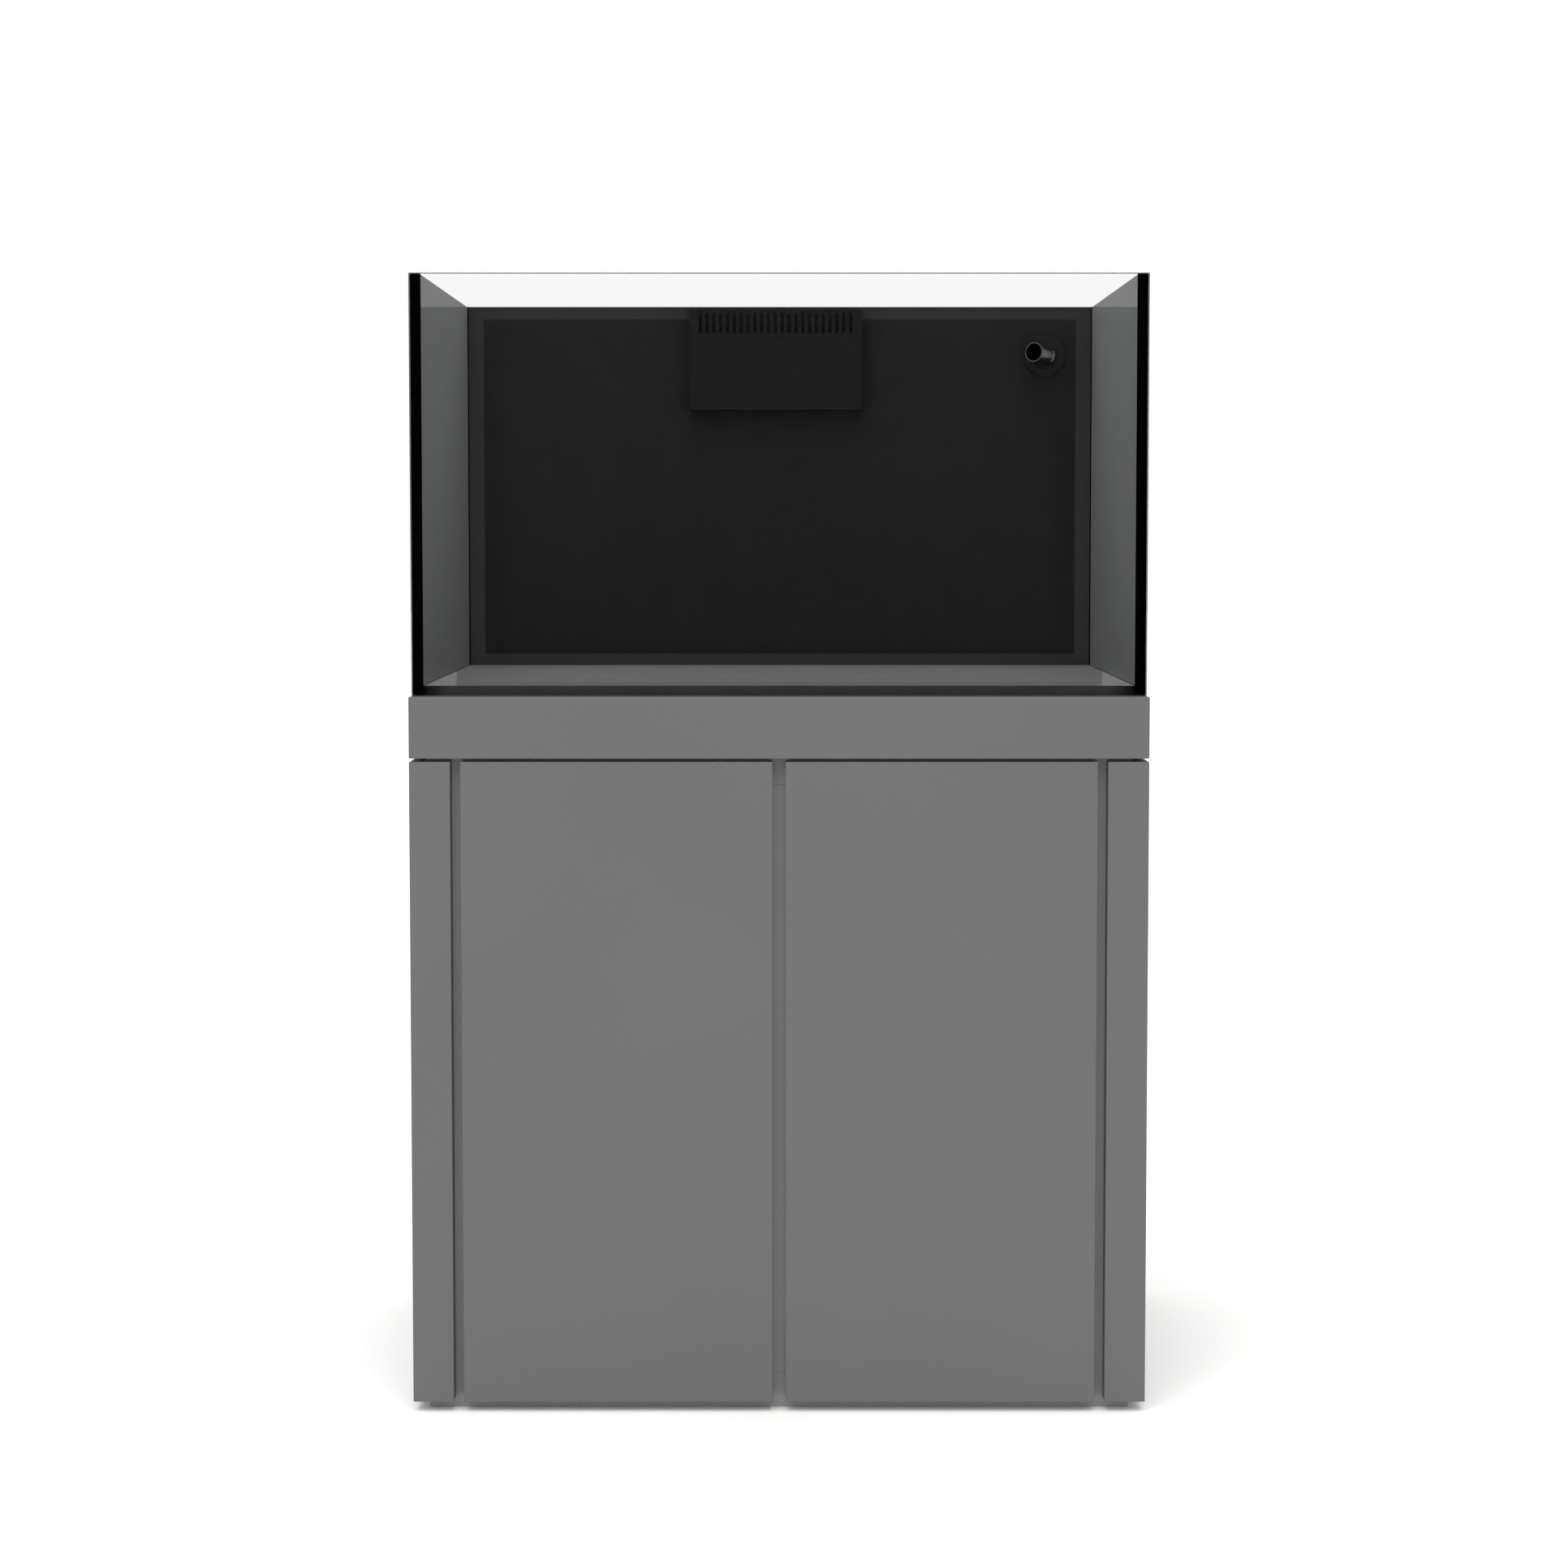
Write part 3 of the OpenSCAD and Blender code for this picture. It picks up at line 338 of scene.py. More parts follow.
# %% Sump glass
def window_glass(name):
    made, tree = material(name)
    place = add(tree, "TexCoord")
    angle = add(tree, "LayerWeight", {"Blend": 0.5}).outputs["Facing"]
    steep = add(tree, "MapRange", {"Value": angle, "From Min": 0.2, "From Max": 0.9},
                interpolation_type="SMOOTHSTEP")
    tint = add(tree, "Mix", {0: steep.outputs["Result"], 6: colour("#F6FAF8"),
                             7: colour("#C2D6CB")}, data_type="RGBA")
    clear = add(tree, "BsdfTransparent", {"Color": tint.outputs[2]})
    film = add(tree, "TexNoise", {"Vector": place.outputs["Object"], "Scale": 1 / mm(60),
                                  "Detail": 4.0})
    haze = add(tree, "MapRange", {"Value": film.outputs["Fac"], "To Min": 0.02, "To Max": 0.12})
    gloss = add(tree, "BsdfAnisotropic", {"Color": (1, 1, 1, 1),
                                          "Roughness": haze.outputs["Result"]})
    late = add(tree, "Math", {0: angle, 1: 4.0}, operation="POWER")
    share = add(tree, "MapRange", {"Value": late.outputs[0], "To Min": 0.015, "To Max": 0.3})
    shade = add(tree, "MixShader", {0: share.outputs["Result"], 1: clear.outputs[0],
                                    2: gloss.outputs[0]})
    add(tree, "OutputMaterial", {"Surface": shade.outputs[0]})
    return made


sump_glass = window_glass("float_glass")
print("made", sump_glass.name)

# %% [markdown]
# ## The black back pane
# The back of the tank is a glass pane with a black coating on its rear, cut a little short of
# the edges, where the silicone takes over. Head on it is a deep, even black, and the uncoated
# border is a shade lighter. That border also carries painted shade: it is painted lighter
# towards the foot of the pane and darker towards the top. The distances from the coating's
# middle make that border: one across and one up. They give 1 only where both are inside the
# coating.

# %% Coated glass
side_border, foot_border, top_border = mm(34), mm(28), mm(17)
low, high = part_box("back_pane")
coat_low = low + Vector((side_border, 0, foot_border))
coat_high = high - Vector((side_border, 0, top_border))
centre = (coat_low + coat_high) / 2
coat_half = (coat_high - coat_low) / 2
print("coated area", [round(2000 * v) for v in coat_half], "mm")


def coated_glass(name):
    made, tree = material(name)
    place = add(tree, "TexCoord")
    axes = add(tree, "SeparateXYZ", {0: place.outputs["Object"]})
    inside = []
    for axis in (0, 2):
        off = add(tree, "Math", {0: axes.outputs[axis], 1: centre[axis]}, operation="SUBTRACT")
        away = add(tree, "Math", {0: off.outputs[0]}, operation="ABSOLUTE")
        inside.append(add(tree, "MapRange", {
            "Value": away.outputs[0], "From Min": coat_half[axis] - mm(1),
            "From Max": coat_half[axis], "To Min": 1.0, "To Max": 0.0}))
    coat = add(tree, "Math", {0: inside[0].outputs["Result"], 1: inside[1].outputs["Result"]},
               operation="MULTIPLY")
    dust = add(tree, "TexNoise", {"Vector": place.outputs["Object"], "Scale": 1 / mm(45),
                                  "Detail": 5.0})
    film = add(tree, "Mix", {0: dust.outputs["Fac"], 6: colour("#1C1C1D"), 7: colour("#202021")},
               data_type="RGBA")
    # Painted shade: the uncoated border is lighter at the foot of the pane and darker at its top.
    rise = add(tree, "MapRange", {"Value": axes.outputs[2], "From Min": low.z, "From Max": high.z})
    border_with_painted_shade = add(tree, "Mix", {0: rise.outputs["Result"], 6: colour("#303031"),
                             7: colour("#2A2A2B")}, data_type="RGBA")
    tone = add(tree, "Mix", {0: coat.outputs[0], 6: border_with_painted_shade.outputs[2], 7: film.outputs[2]},
               data_type="RGBA")
    haze = add(tree, "MapRange", {"Value": dust.outputs["Fac"], "To Min": 0.03, "To Max": 0.08})
    shade = add(tree, "BsdfPrincipled", {
        "Base Color": tone.outputs[2], "Roughness": haze.outputs["Result"],
        "Specular IOR Level": 0.02, "IOR": 1.52})
    add(tree, "OutputMaterial", {"Surface": shade.outputs[0]})
    return made


black_glass = coated_glass("black_coated_glass")
print("made", black_glass.name)

# %% [markdown]
# ## Silicone
# The panes are glued with black silicone, pulled smooth with a tool while it was wet. It is a
# soft satin black. The tool leaves shallow waves along the bead, about 12 mm apart. Along the
# foot of the tank, where the seam is seen through the front pane, it is painted a lighter grey
# in the middle that fades back to black towards the corners. The lighter grey is painted light
# for the brighter band seen there, and the fade is painted shade at the corners.

# %% Tooled silicone
base_low, base_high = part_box("silicone_seams")
# Height of the painted light band along the foot.
foot_height = mm(14)          # how high the lighter band along the foot reaches


def tooled_silicone(name):
    made, tree = material(name)
    place = add(tree, "TexCoord").outputs["Object"]
    axes = add(tree, "SeparateXYZ", {0: place})
    # Painted light: a lighter grey along the foot, fading to black towards both corners as painted
    # shade.
    foot = add(tree, "MapRange", {"Value": axes.outputs[2], "To Min": 1.0, "To Max": 0.0,
                                  "From Min": base_low.z + foot_height - mm(1),
                                  "From Max": base_low.z + foot_height + mm(1)})
    across = add(tree, "Math", {0: axes.outputs[0]}, operation="ABSOLUTE")
    ends = add(tree, "MapRange", {"Value": across.outputs[0], "From Min": base_high.x - mm(45),
                                  "From Max": base_high.x - mm(12), "To Min": 1.0, "To Max": 0.0})
    thin = add(tree, "Math", {0: foot.outputs["Result"], 1: ends.outputs["Result"]},
               operation="MULTIPLY")
    tone = add(tree, "Mix", {0: thin.outputs[0], 6: colour("#020202"), 7: colour("#383838")},
               data_type="RGBA")
    wave = add(tree, "TexNoise", {"Vector": place, "Scale": 1 / mm(12), "Detail": 1.0})
    relief = add(tree, "Bump", {"Height": wave.outputs["Fac"], "Distance": mm(0.3),
                                "Strength": 0.5})
    shade = add(tree, "BsdfPrincipled", {"Base Color": tone.outputs[2], "Roughness": 0.4,
                                         "IOR": 1.41, "Specular IOR Level": 0.01,
                                         "Normal": relief.outputs["Normal"]})
    add(tree, "OutputMaterial", {"Surface": shade.outputs[0]})
    return made


silicone = tooled_silicone("tooled_black_silicone")
print("silicone from", round(base_low.z, 3), "to", round(base_high.z, 3), "m")

# %% [markdown]
# ## Moulded and cast plastics
# All plastics share one recipe, because each is a single body colour that runs right through,
# under a skin that its mould or its die left behind. What differs is the colour, the gloss, and
# the size and depth of that skin. A slow cloud of slightly different tone keeps a large face from
# looking printed, and dust and limescale dull the gloss in patches.

# %% One recipe for plastics
def plastic(name, tones, gloss, skin, depth, level=0.5, stretch=(1, 1, 1)):
    made, tree = material(name)
    place = add(tree, "TexCoord").outputs["Object"]
    drawn = add(tree, "Mapping", {"Vector": place, "Scale": stretch})
    cloud = add(tree, "TexNoise", {"Vector": place, "Scale": 1 / mm(35), "Detail": 4.0})
    tone = add(tree, "Mix", {0: cloud.outputs["Fac"], 6: colour(tones[0]), 7: colour(tones[1])},
               data_type="RGBA")
    dull = add(tree, "MapRange", {"Value": cloud.outputs["Fac"], "From Min": 0.3,
                                  "From Max": 0.7, "To Min": gloss[0], "To Max": gloss[1]})
    pores = add(tree, "TexNoise", {"Vector": drawn.outputs[0], "Scale": 1 / mm(skin),
                                   "Detail": 2.0})
    relief = add(tree, "Bump", {"Height": pores.outputs["Fac"], "Distance": mm(depth),
                                "Strength": 0.6})
    shade = add(tree, "BsdfPrincipled", {
        "Base Color": tone.outputs[2], "Roughness": dull.outputs["Result"],
        "IOR": 1.49, "Specular IOR Level": level, "Normal": relief.outputs["Normal"]})
    add(tree, "OutputMaterial", {"Surface": shade.outputs[0]})
    return made


# %% Cast acrylic
# The overflow and the tray are sheet cast between glass plates: a deep black with a wet gloss
# and hardly any relief.
acrylic = plastic("cast_black_acrylic", ("#171717", "#1A1A1A"), (0.08, 0.16), 20, 0.02, 0.04)
print("made", acrylic.name)

# %% PVC pipe and fittings
# Pressure pipe is drawn through a die and dulled by the size dust of the factory: a flat dark
# grey with a low sheen. The draw lines are finer than 1 mm and are drawn 1.5 mm apart.
pvc = plastic("extruded_grey_pvc", ("#5A5F63", "#64696D"), (0.38, 0.5), 1.5, 0.04, 0.45)
print("made", pvc.name)

# %% Black ABS
# The pump, the sock rings and the return's collar are moulded in a spark-worn mould, which leaves
# a fine matt grain of about 0.4 mm, drawn 1 mm here. The nozzle's mould is polished, so its tube
# carries a clear highlight along its length.
black_abs = plastic("spark_grained_black_abs", ("#0D0D0D", "#131313"), (0.4, 0.52), 1.0, 0.05,
                    0.15)
polished_abs = plastic("polished_black_abs", ("#0A0A0A", "#0E0E0E"), (0.18, 0.28), 4, 0.03, 0.8)
print("made", black_abs.name, "and", polished_abs.name)

# %% Red ABS and white nylon
# The handwheel is the one bright thing in the cabinet. The impeller is nylon, which is milky
# white and slightly waxy.
red_abs = plastic("polished_red_abs", ("#A11E1A", "#AD2620"), (0.22, 0.34), 8, 0.04, 0.5)
nylon = plastic("moulded_white_nylon", ("#DCDAD2", "#E6E4DC"), (0.35, 0.5), 5, 0.05, 0.4)
print("made", red_abs.name, "and", nylon.name)

# %% [markdown]
# ## Rubber
# The door bumpers and the cable grommet are soft black rubber. It scatters nearly all light, its
# skin is dusty, and a little bloom makes parts of it greyer.

# %% Moulded rubber
rubber = plastic("moulded_black_rubber", ("#1A1A1A", "#2B2B2A"), (0.65, 0.85), 1.2, 0.08, 0.3)
print("made", rubber.name)

# %% [markdown]
# ## Steel in three finishes
# The hinges are stamped steel with bright nickel plate, their pins are ground stainless, and the
# screws are zinc plated, with the faint blue and straw of the passivation. A metal's colour is
# its mirror colour, so it goes in the base colour with metallic at 1, and the IOR stays as it
# is. Grinding leaves fine rings round a pin, so that noise is stretched across it.

# %% Plated and ground steel
def steel(name, tones, gloss, scratch, stretch):
    made, tree = material(name)
    place = add(tree, "TexCoord").outputs["Object"]
    drawn = add(tree, "Mapping", {"Vector": place, "Scale": stretch})
    marks = add(tree, "TexNoise", {"Vector": drawn.outputs[0], "Scale": 1 / mm(scratch),
                                   "Detail": 3.0})
    cloud = add(tree, "TexNoise", {"Vector": place, "Scale": 1 / mm(9), "Detail": 2.0})
    tone = add(tree, "Mix", {0: cloud.outputs["Fac"], 6: colour(tones[0]), 7: colour(tones[1])},
               data_type="RGBA")
    rough = add(tree, "MapRange", {"Value": marks.outputs["Fac"], "From Min": 0.3,
                                   "From Max": 0.7, "To Min": gloss[0], "To Max": gloss[1]})
    relief = add(tree, "Bump", {"Height": marks.outputs["Fac"], "Distance": mm(0.02),
                                "Strength": 0.5})
    shade = add(tree, "BsdfPrincipled", {
        "Base Color": tone.outputs[2], "Metallic": 1.0, "Roughness": rough.outputs["Result"],
        "Normal": relief.outputs["Normal"]})
    add(tree, "OutputMaterial", {"Surface": shade.outputs[0]})
    return made


nickel = steel("bright_nickel_plate", ("#B2B1AE", "#C4C3C0"), (0.2, 0.32), 3, (1, 1, 1))
ground = steel("ground_stainless_steel", ("#A9A9A8", "#B9B9B8"), (0.2, 0.36), 1, (0.1, 0.1, 1))
zinc = steel("blue_passivated_zinc", ("#9FA7B4", "#B8B29A"), (0.28, 0.42), 1, (1, 1, 1))
print("steel:", nickel.name, ground.name, zinc.name)

# %% [markdown]
# ## Filter felt
# A filter sock is polyester fibre, needled into a felt 3 mm thick. It has no threads that cross.
# What shows are short fibres lying in all directions, a dimpled surface from the needles about
# 2.5 mm apart, and a soft fuzz that catches light at the outline. The sheen setting gives the
# fuzz. Water leaves it cream low down.

# %% Needled felt
bag_low, bag_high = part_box("front_sock_bag")


def needled_felt(name):
    made, tree = material(name)
    place = add(tree, "TexCoord").outputs["Object"]
    fibre_a = add(tree, "Mapping", {"Vector": place, "Scale": (1, 1, 0.15),
                                    "Rotation": (0.5, 0.3, 0.2)})
    fibre_b = add(tree, "Mapping", {"Vector": place, "Scale": (0.15, 1, 1),
                                    "Rotation": (-0.4, 0.9, 0.5)})
    one = add(tree, "TexNoise", {"Vector": fibre_a.outputs[0], "Scale": 1 / mm(1.2),
                                 "Detail": 3.0})
    two = add(tree, "TexNoise", {"Vector": fibre_b.outputs[0], "Scale": 1 / mm(1.2),
                                 "Detail": 3.0})
    fibres = add(tree, "Math", {0: one.outputs["Fac"], 1: two.outputs["Fac"]},
                 operation="MAXIMUM")
    needles = add(tree, "TexVoronoi", {"Vector": place, "Scale": 1 / mm(2.5)})
    pits = add(tree, "MapRange", {"Value": needles.outputs["Distance"], "From Max": 0.5})
    height = add(tree, "Math", {0: fibres.outputs[0], 1: pits.outputs["Result"]},
                 operation="ADD")
    relief = add(tree, "Bump", {"Height": height.outputs[0], "Distance": mm(0.6)})
    axes = add(tree, "SeparateXYZ", {0: place})
    low_down = add(tree, "MapRange", {"Value": axes.outputs[2], "From Min": bag_low.z,
                                      "From Max": bag_high.z - mm(60), "To Min": 1.0,
                                      "To Max": 0.0})
    patch = add(tree, "TexNoise", {"Vector": place, "Scale": 1 / mm(38), "Detail": 3.0})
    stain = add(tree, "Math", {0: low_down.outputs["Result"], 1: patch.outputs["Fac"]},
                operation="MULTIPLY")
    clean = add(tree, "Mix", {0: fibres.outputs[0], 6: colour("#D5D3CC"), 7: colour("#F2F1EC")},
                data_type="RGBA")
    tone = add(tree, "Mix", {0: stain.outputs[0], 6: clean.outputs[2], 7: colour("#CDBF9F")},
               data_type="RGBA")
    shade = add(tree, "BsdfPrincipled", {
        "Base Color": tone.outputs[2], "Roughness": 0.95, "Specular IOR Level": 0.15,
        "Sheen Weight": 0.35, "Sheen Roughness": 0.5, "Normal": relief.outputs["Normal"]})
    add(tree, "OutputMaterial", {"Surface": shade.outputs[0]})
    return made


felt = needled_felt("needled_polyester_felt")
thread = plastic("spun_polyester_thread", ("#E9E7DF", "#F7F6F1"), (0.6, 0.75), 1, 0.1, 0.3)
print("felt bag box", [round(1000 * v) for v in bag_high - bag_low], "mm")

# %% [markdown]
# ## The shape of a sock
# A sock is one strip of felt, rolled and sewn up its side, with a round disc sewn in as its
# bottom, and its mouth glued round a plastic ring. Empty, it hangs from the ring: the wall keeps
# the roundness of the ring near the top, pulls in under its own weight in the middle and shows
# a few soft folds. That is easiest as a loft: rings of points, one above the other, whose
# radius follows a small formula. `turn` is the angle round the bag, `up` goes from 0 at the
# bottom to 1 at the mouth, and `lean` shifts the folds, so that the two bags differ.

# %% The loft of a bag
ROUND, LEVELS = 96, 64        # points in a ring, and rings
BAG_RADIUS, FOLD, CORNER = mm(44.6), mm(1.5), mm(5)


def wall_radius(turn, up, lean):
    top = 1 - min(1, (1 - up) / 0.12)
    foot = min(1, up / 0.07)
    belly = 1 - 0.035 * math.sin(math.pi * min(1, up * 1.15)) * (1 - top)
    folds = (0.55 * math.sin(3 * turn + lean + 1.2 * up) + 0.3 * math.sin(7 * turn - 2 * lean)
             + 0.2 * math.sin(2 * turn + 5 * up))
    sag = FOLD * folds * (1 - top) * (0.35 + 0.65 * (1 - up))
    rounding = CORNER * (1 - math.sqrt(1 - (1 - foot) ** 2))
    return BAG_RADIUS * belly + sag - rounding


def bag_point(middle_xy, turn, up, lean):
    radius = wall_radius(turn, up, lean)
    height = bag_low.z + mm(1) + up * (bag_high.z - bag_low.z - mm(2))
    return Vector((middle_xy[0] + radius * math.cos(turn), middle_xy[1] + radius * math.sin(turn),
                   height))


print("a bag is", round(2000 * wall_radius(0, 0.5, 0)), "mm across at half its height")

# %% [markdown]
# ## Letting it hang
# The formula gives the cut of the bag. How it hangs is left to Blender's cloth: the mouth is
# pinned where the ring holds it, gravity pulls down, and a slight pull inwards stands for the
# water that has drained out of the bag. Felt is stiff, so bending is set high. A point keeps at
# most 3 mm of its move, which holds the bag clear of the hole in the tray. The result is written
# into the points and the modifier is taken off, so what is left is a plain mesh.

# %% Cloth
FRAMES = 16


def hang(bag, pinned, most):
    before = [v.co.copy() for v in bag.data.vertices]
    group = bag.vertex_groups.new(name="mouth")
    group.add(pinned, 1.0, "REPLACE")
    cloth = bag.modifiers.new("hang", "CLOTH")
    cloth.settings.vertex_group_mass = "mouth"
    cloth.settings.quality = 5
    cloth.settings.mass = 0.3
    cloth.settings.tension_stiffness = 25
    cloth.settings.compression_stiffness = 12
    cloth.settings.bending_stiffness = 8
    cloth.settings.use_pressure = True
    cloth.settings.uniform_pressure_force = -0.6
    cloth.point_cache.frame_end = FRAMES
    for step in range(1, FRAMES + 1):
        scene.frame_set(step)
    hung = bag.evaluated_get(bpy.context.evaluated_depsgraph_get()).to_mesh()
    after = [v.co.copy() for v in hung.vertices]
    bag.modifiers.clear()
    bag.vertex_groups.clear()
    for vertex, old, new in zip(bag.data.vertices, before, after):
        move = new - old
        vertex.co = old + move * min(1, most / max(move.length, 1e-9))
    scene.frame_set(1)
    return max((new - old).length for old, new in zip(before, after))


# %% [markdown]
# ## Building the bag
# Two rings with the same number of points are joined by a band of four-sided faces. That one
# helper builds the wall, the disc at the bottom, whose rings get smaller towards the middle, and
# later the stitches. `bmesh` collects the points and faces, and the finished mesh is made once.

# %% Bands of faces
def join_rings(build, lower, upper):
    count = len(lower)
    for i in range(count):
        n = (i + 1) % count
        build.faces.new((lower[i], lower[n], upper[n], upper[i]))


def to_object(build, name):
    mesh = bpy.data.meshes.new(name)
    build.to_mesh(mesh)
    build.free()
    made = bpy.data.objects.new(name, mesh)
    scene.collection.objects.link(made)
    return made


# %% Make one bag
DISC_SHARES = (0.8, 0.55, 0.3, 0.1)       # radii of the disc's inner rings
MOUTH_BAND, MOST_MOVE = mm(22), mm(3)     # height that the ring holds, and the cloth's cap


def sock_bag(name, node, lean):
    low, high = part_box(node)
    spot = ((low.x + high.x) / 2, (low.y + high.y) / 2)
    build = bmesh.new()
    rings = [[build.verts.new(bag_point(spot, 2 * math.pi * i / ROUND, j / LEVELS, lean))
              for i in range(ROUND)] for j in range(LEVELS + 1)]
    for lower, upper in zip(rings, rings[1:]):
        join_rings(build, lower, upper)
    outer = rings[0]
    for share in DISC_SHARES:
        inner = [build.verts.new((spot[0] + (v.co.x - spot[0]) * share,
                                  spot[1] + (v.co.y - spot[1]) * share,
                                  low.z + mm(0.6))) for v in rings[0]]
        join_rings(build, inner, outer)
        outer = inner
    build.faces.new(list(reversed(outer)))
    build.normal_update()
    bag = to_object(build, name)
    mouth = [i for i, v in enumerate(bag.data.vertices) if v.co.z > high.z - MOUTH_BAND]
    moved = hang(bag, mouth, MOST_MOVE)
    print(name, "cloth moved a point by up to", round(1000 * moved, 1), "mm")
    return bag, spot


bags = {}
for name, node, lean in (("front_felt_bag", "front_sock_bag", 0.4),
                         ("rear_felt_bag", "rear_sock_bag", 2.3)):
    bags[name] = sock_bag(name, node, lean)
    print(name, "points:", len(bags[name][0].data.vertices))

# %% [markdown]
# ## Thickness, side seam and stitches
# A Solidify modifier gives the felt its thickness towards the inside. Where the strip's two edges
# meet, they stand up as a low ridge, sewn over with thread at every 4 mm. The ridge is made by
# pushing out the points beside the seam. Each stitch is a small bent tube of thread, so that it
# casts its own shadow, and the disc at the bottom has the same stitches round its rim.

# %% Ridge along the seam
SEAM = math.radians(-60)
SEAM_HEIGHT, SEAM_WIDTH = mm(1.1), mm(2.6)


def raise_seam(bag, spot, bag_floor):
    for vertex in bag.data.vertices:
        flat = Vector((vertex.co.x - spot[0], vertex.co.y - spot[1]))
        if vertex.co.z < bag_floor + mm(8) or flat.length < mm(30):
            continue
        off = (math.atan2(flat.y, flat.x) - SEAM + math.pi) % (2 * math.pi) - math.pi
        lift = SEAM_HEIGHT * math.exp(-(off * flat.length / SEAM_WIDTH) ** 2)
        vertex.co.x += flat.x / flat.length * lift
        vertex.co.y += flat.y / flat.length * lift


print("seam", round(1000 * SEAM_HEIGHT, 1), "mm high")

# %% One stitch
THREAD_RADIUS, THREAD_SIDES = mm(0.4), 6


def stitch_tube(build, path):
    rings = []
    for a, point in enumerate(path):
        ahead = path[min(a + 1, len(path) - 1)] - path[max(a - 1, 0)]
        across = ahead.cross(Vector((0.3, 0.2, 1))).normalized()
        other = ahead.cross(across).normalized()
        turns = (2 * math.pi * k / THREAD_SIDES for k in range(THREAD_SIDES))
        rings.append([build.verts.new(point + THREAD_RADIUS * (across * math.cos(t)
                                                               + other * math.sin(t)))
                      for t in turns])
    for one, two in zip(rings, rings[1:]):
        join_rings(build, one, two)
    build.faces.new(list(reversed(rings[0])))
    build.faces.new(rings[-1])


# %% [markdown]
# A stitch has to lie on the felt, and the cloth has moved the felt. So each point of a stitch
# looks for the nearest point of the bag's wall, and takes its distance from the bag's middle
# plus a little, which leaves most of the thread above the felt.

# %% Where a stitch lies
def on_circle(spot, radius, turn, z):
    return Vector((spot[0] + radius * math.cos(turn), spot[1] + radius * math.sin(turn), z))


def felt_radius(wall, spot, guess):
    hit = min(wall, key=lambda point: (point - guess).length)
    return Vector((hit.x - spot[0], hit.y - spot[1])).length


# %% All the stitches of a bag
STITCH_STEP, RIM_STITCHES = mm(4), 60
SIDE_REACH, RIM_REACH = mm(45), mm(42)    # a radius just outside the wall, and at the rim
RIM_RISE = (mm(0.4), mm(2.2), mm(4.5), mm(6.5))


def sew(name, bag, spot, low, high):
    build = bmesh.new()
    wall = [v.co.copy() for v in bag.data.vertices]
    side_stitches = int((high.z - low.z - mm(36)) / STITCH_STEP)
    for s in range(side_stitches):
        z = low.z + mm(10) + s * STITCH_STEP
        path = []
        for k in range(-2, 3):
            turn = SEAM + k * mm(1.5) / SIDE_REACH
            rise = z + k * mm(0.7)
            radius = felt_radius(wall, spot, on_circle(spot, SIDE_REACH, turn, rise)) + mm(0.35)
            path.append(on_circle(spot, radius, turn, rise))
        stitch_tube(build, path)
    for s in range(RIM_STITCHES):
        turn = 2 * math.pi * s / RIM_STITCHES
        path = []
        for up in RIM_RISE:
            guess = on_circle(spot, RIM_REACH, turn, low.z + up)
            radius = felt_radius(wall, spot, guess) + mm(0.3)
            path.append(on_circle(spot, radius, turn + up, low.z + up + mm(0.6)))
        stitch_tube(build, path)
    print(name, "has", side_stitches + RIM_STITCHES, "stitches")
    return to_object(build, name)


# %% [markdown]
# The two bags get their felt and their thread, ride with their ring, and stand for the plain
# shapes of the design.

# %% Finish both bags
FELT_THICKNESS = mm(2.6)
for name, node, body in (("front_felt_bag", "front_sock_bag", "front_sock"),
                         ("rear_felt_bag", "rear_sock_bag", "rear_sock")):
    bag, spot = bags[name]
    low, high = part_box(node)
    raise_seam(bag, spot, low.z)
    stitches = sew(name.replace("bag", "stitches"), bag, spot, low, high)
    stitches.data.materials.append(thread)
    stitches.data.shade_smooth()
    bag.data.materials.append(felt)
    bag.data.shade_smooth()
    skin = bag.modifiers.new("felt_thickness", "SOLIDIFY")
    skin.thickness = FELT_THICKNESS
    skin.offset = -1
    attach(bag, body)
    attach(stitches, body)
    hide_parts(node)

# %% [markdown]
# ## Edges
# No real edge is perfectly sharp. A lacquered board is eased with sandpaper to about 0.8 mm, a
# glass pane has a narrow polished arris, and moulded parts have the small radius of their mould.
# Those edges catch the light as thin bright or dark lines, and a sharp computer edge doesn't. A
# Weld modifier first joins the faces that touch, a Decimate modifier dissolves the flat
# triangles, the Bevel rounds what is left, and a Weighted Normal keeps the flat faces flat.

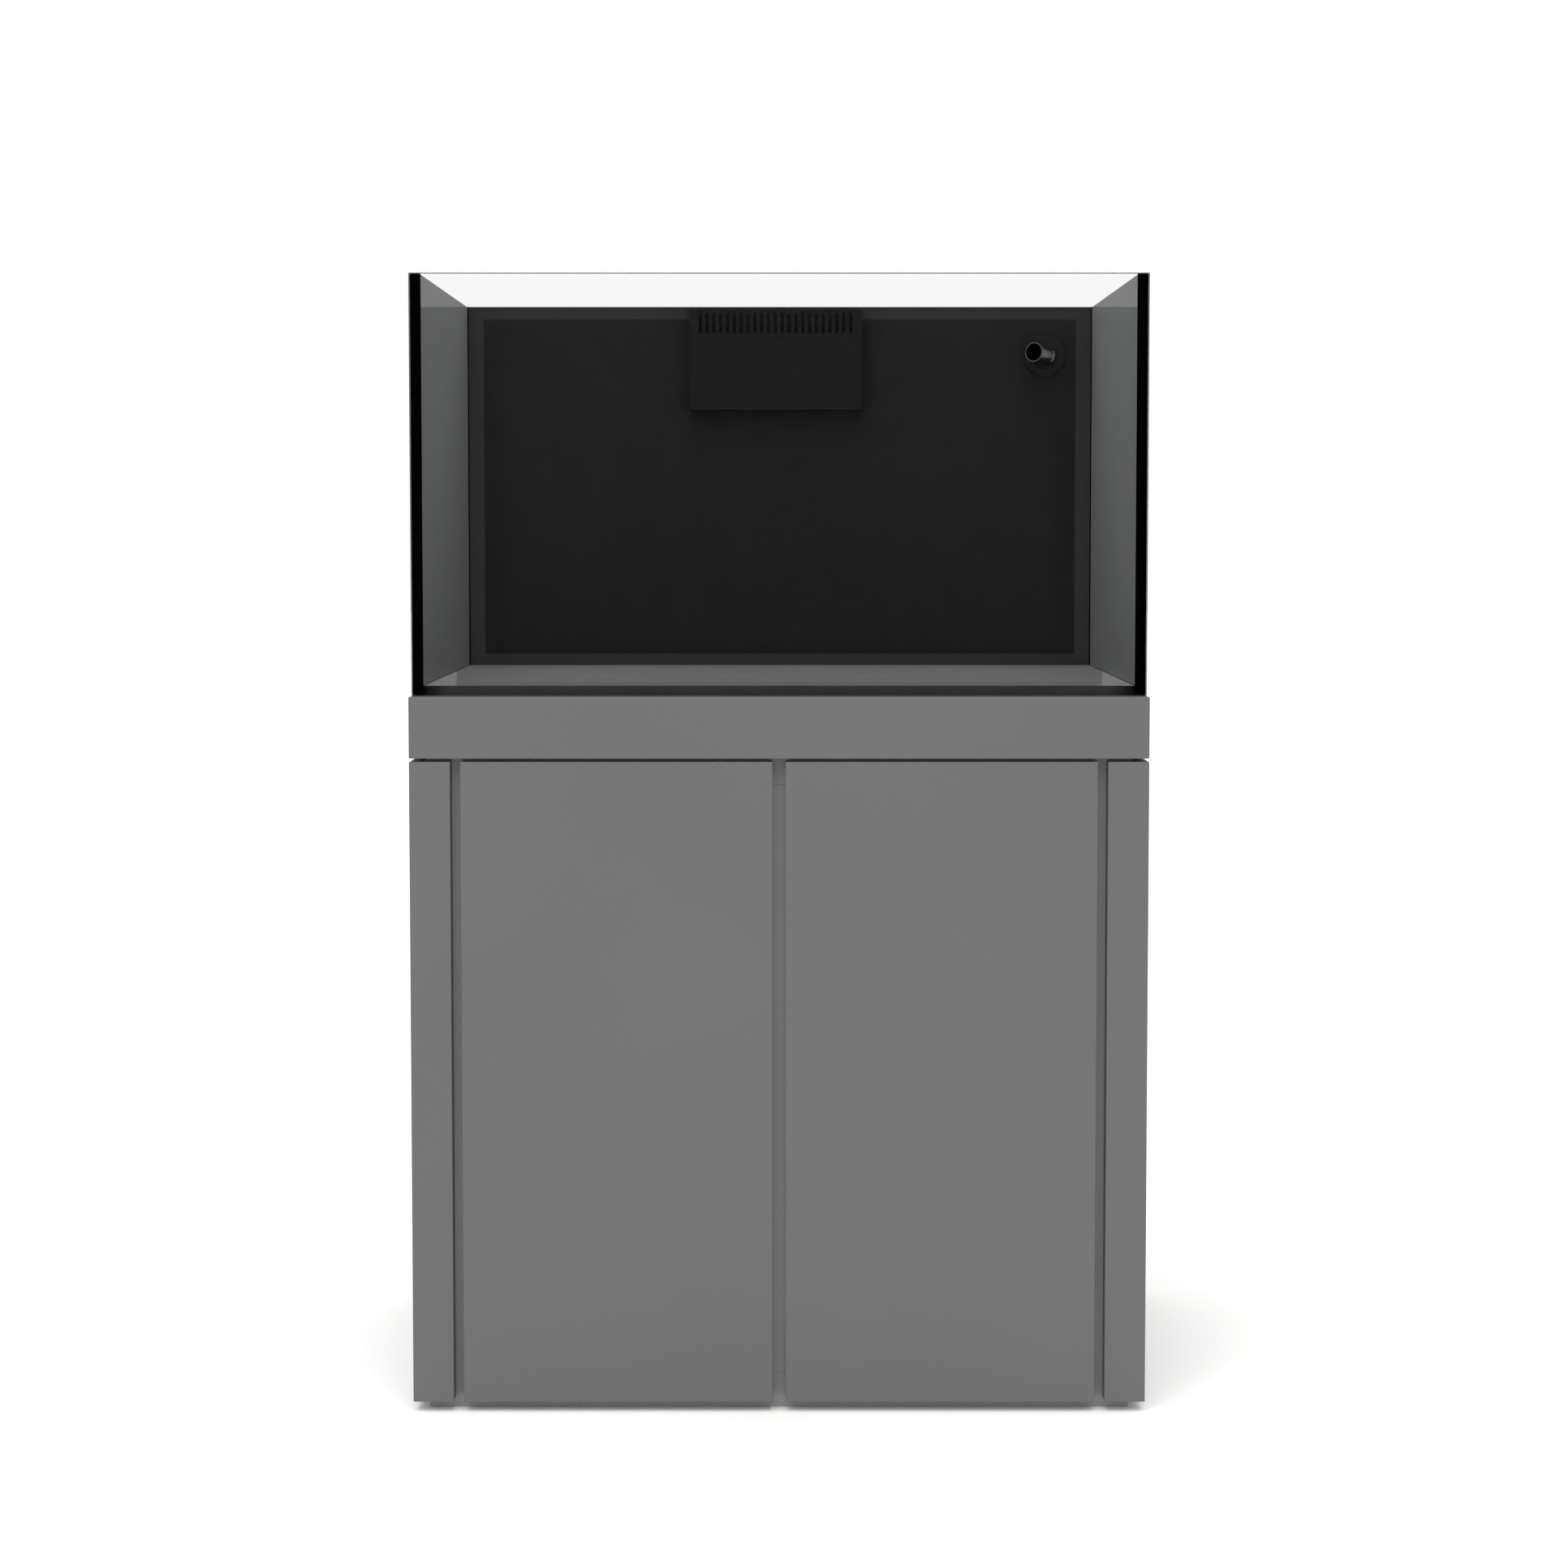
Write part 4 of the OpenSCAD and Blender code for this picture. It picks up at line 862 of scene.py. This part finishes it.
# %% Rounded edges
def ease(part, radius, steps):
    weld = part.modifiers.new("weld", "WELD")
    weld.merge_threshold = mm(0.01)
    flat = part.modifiers.new("flat", "DECIMATE")
    flat.decimate_type = "DISSOLVE"
    flat.angle_limit = math.radians(0.5)
    bevel = part.modifiers.new("bevel", "BEVEL")
    bevel.width = radius
    bevel.segments = steps
    bevel.limit_method = "ANGLE"
    bevel.angle_limit = math.radians(35)
    normals = part.modifiers.new("normals", "WEIGHTED_NORMAL")
    normals.keep_sharp = True


# %% [markdown]
# ## Which part gets what
# One table names, for each finish, its edge radius and the parts that have it. Every part must
# be in the table once, and the last line prints the parts that were left out.

# %% Assign the finishes
finishes = [
    (lacquer, 0.8, "crown_front crown_left crown_right crown_back left_door right_door left_stile "
                   "right_stile left_side_board right_side_board top_board"),
    (melamine, 0.5, "bottom_board left_carcass_side right_carcass_side back_panel "
                    "left_post right_post centre_post top_rail bottom_rail"),
    (front_glass, 1.2, "front_pane"),
    (side_glass, 0.7, "left_pane right_pane"),
    (floor_glass, 0.7, "bottom_pane"),
    (black_glass, 0.7, "back_pane"),
    (silicone, 0, "silicone_seams"),
    (sump_glass, 0.4, "sump_tank sump_baffles"),
    (acrylic, 0.4, "weir_box weir_comb overflow_box overflow_lid sock_tray"),
    (pvc, 0.5, "overflow_unions drain_bulkheads main_drain_upper main_drain_lower "
               "emergency_drain return_pipe gate_valve_body gate_valve_blade"),
    (black_abs, 0.4, "return_bulkhead return_pump pump_strainer front_sock_ring rear_sock_ring"),
    (polished_abs, 0.3, "return_nozzle"),
    (red_abs, 0.5, "gate_valve_wheel"),
    (nylon, 0.3, "pump_impeller"),
    (nickel, 0.15, "left_hinge_cups right_hinge_cups hinge_arms hinge_plates"),
    (ground, 0.1, "left_hinge_pins right_hinge_pins"),
    (zinc, 0.1, "cabinet_screws"),
    (rubber, 0.3, "door_bumpers cable_grommet"),
    (felt, 0, "front_sock_bag rear_sock_bag"),
]
done = set()
for finish, radius, names in finishes:
    for name in names.split():
        for place in parts[name].material_slots:
            place.material = finish
        if radius:
            ease(parts[name], mm(radius), 2)
        done.add(name)
print("finished", len(done), "parts, left out", sorted(set(parts) - done))
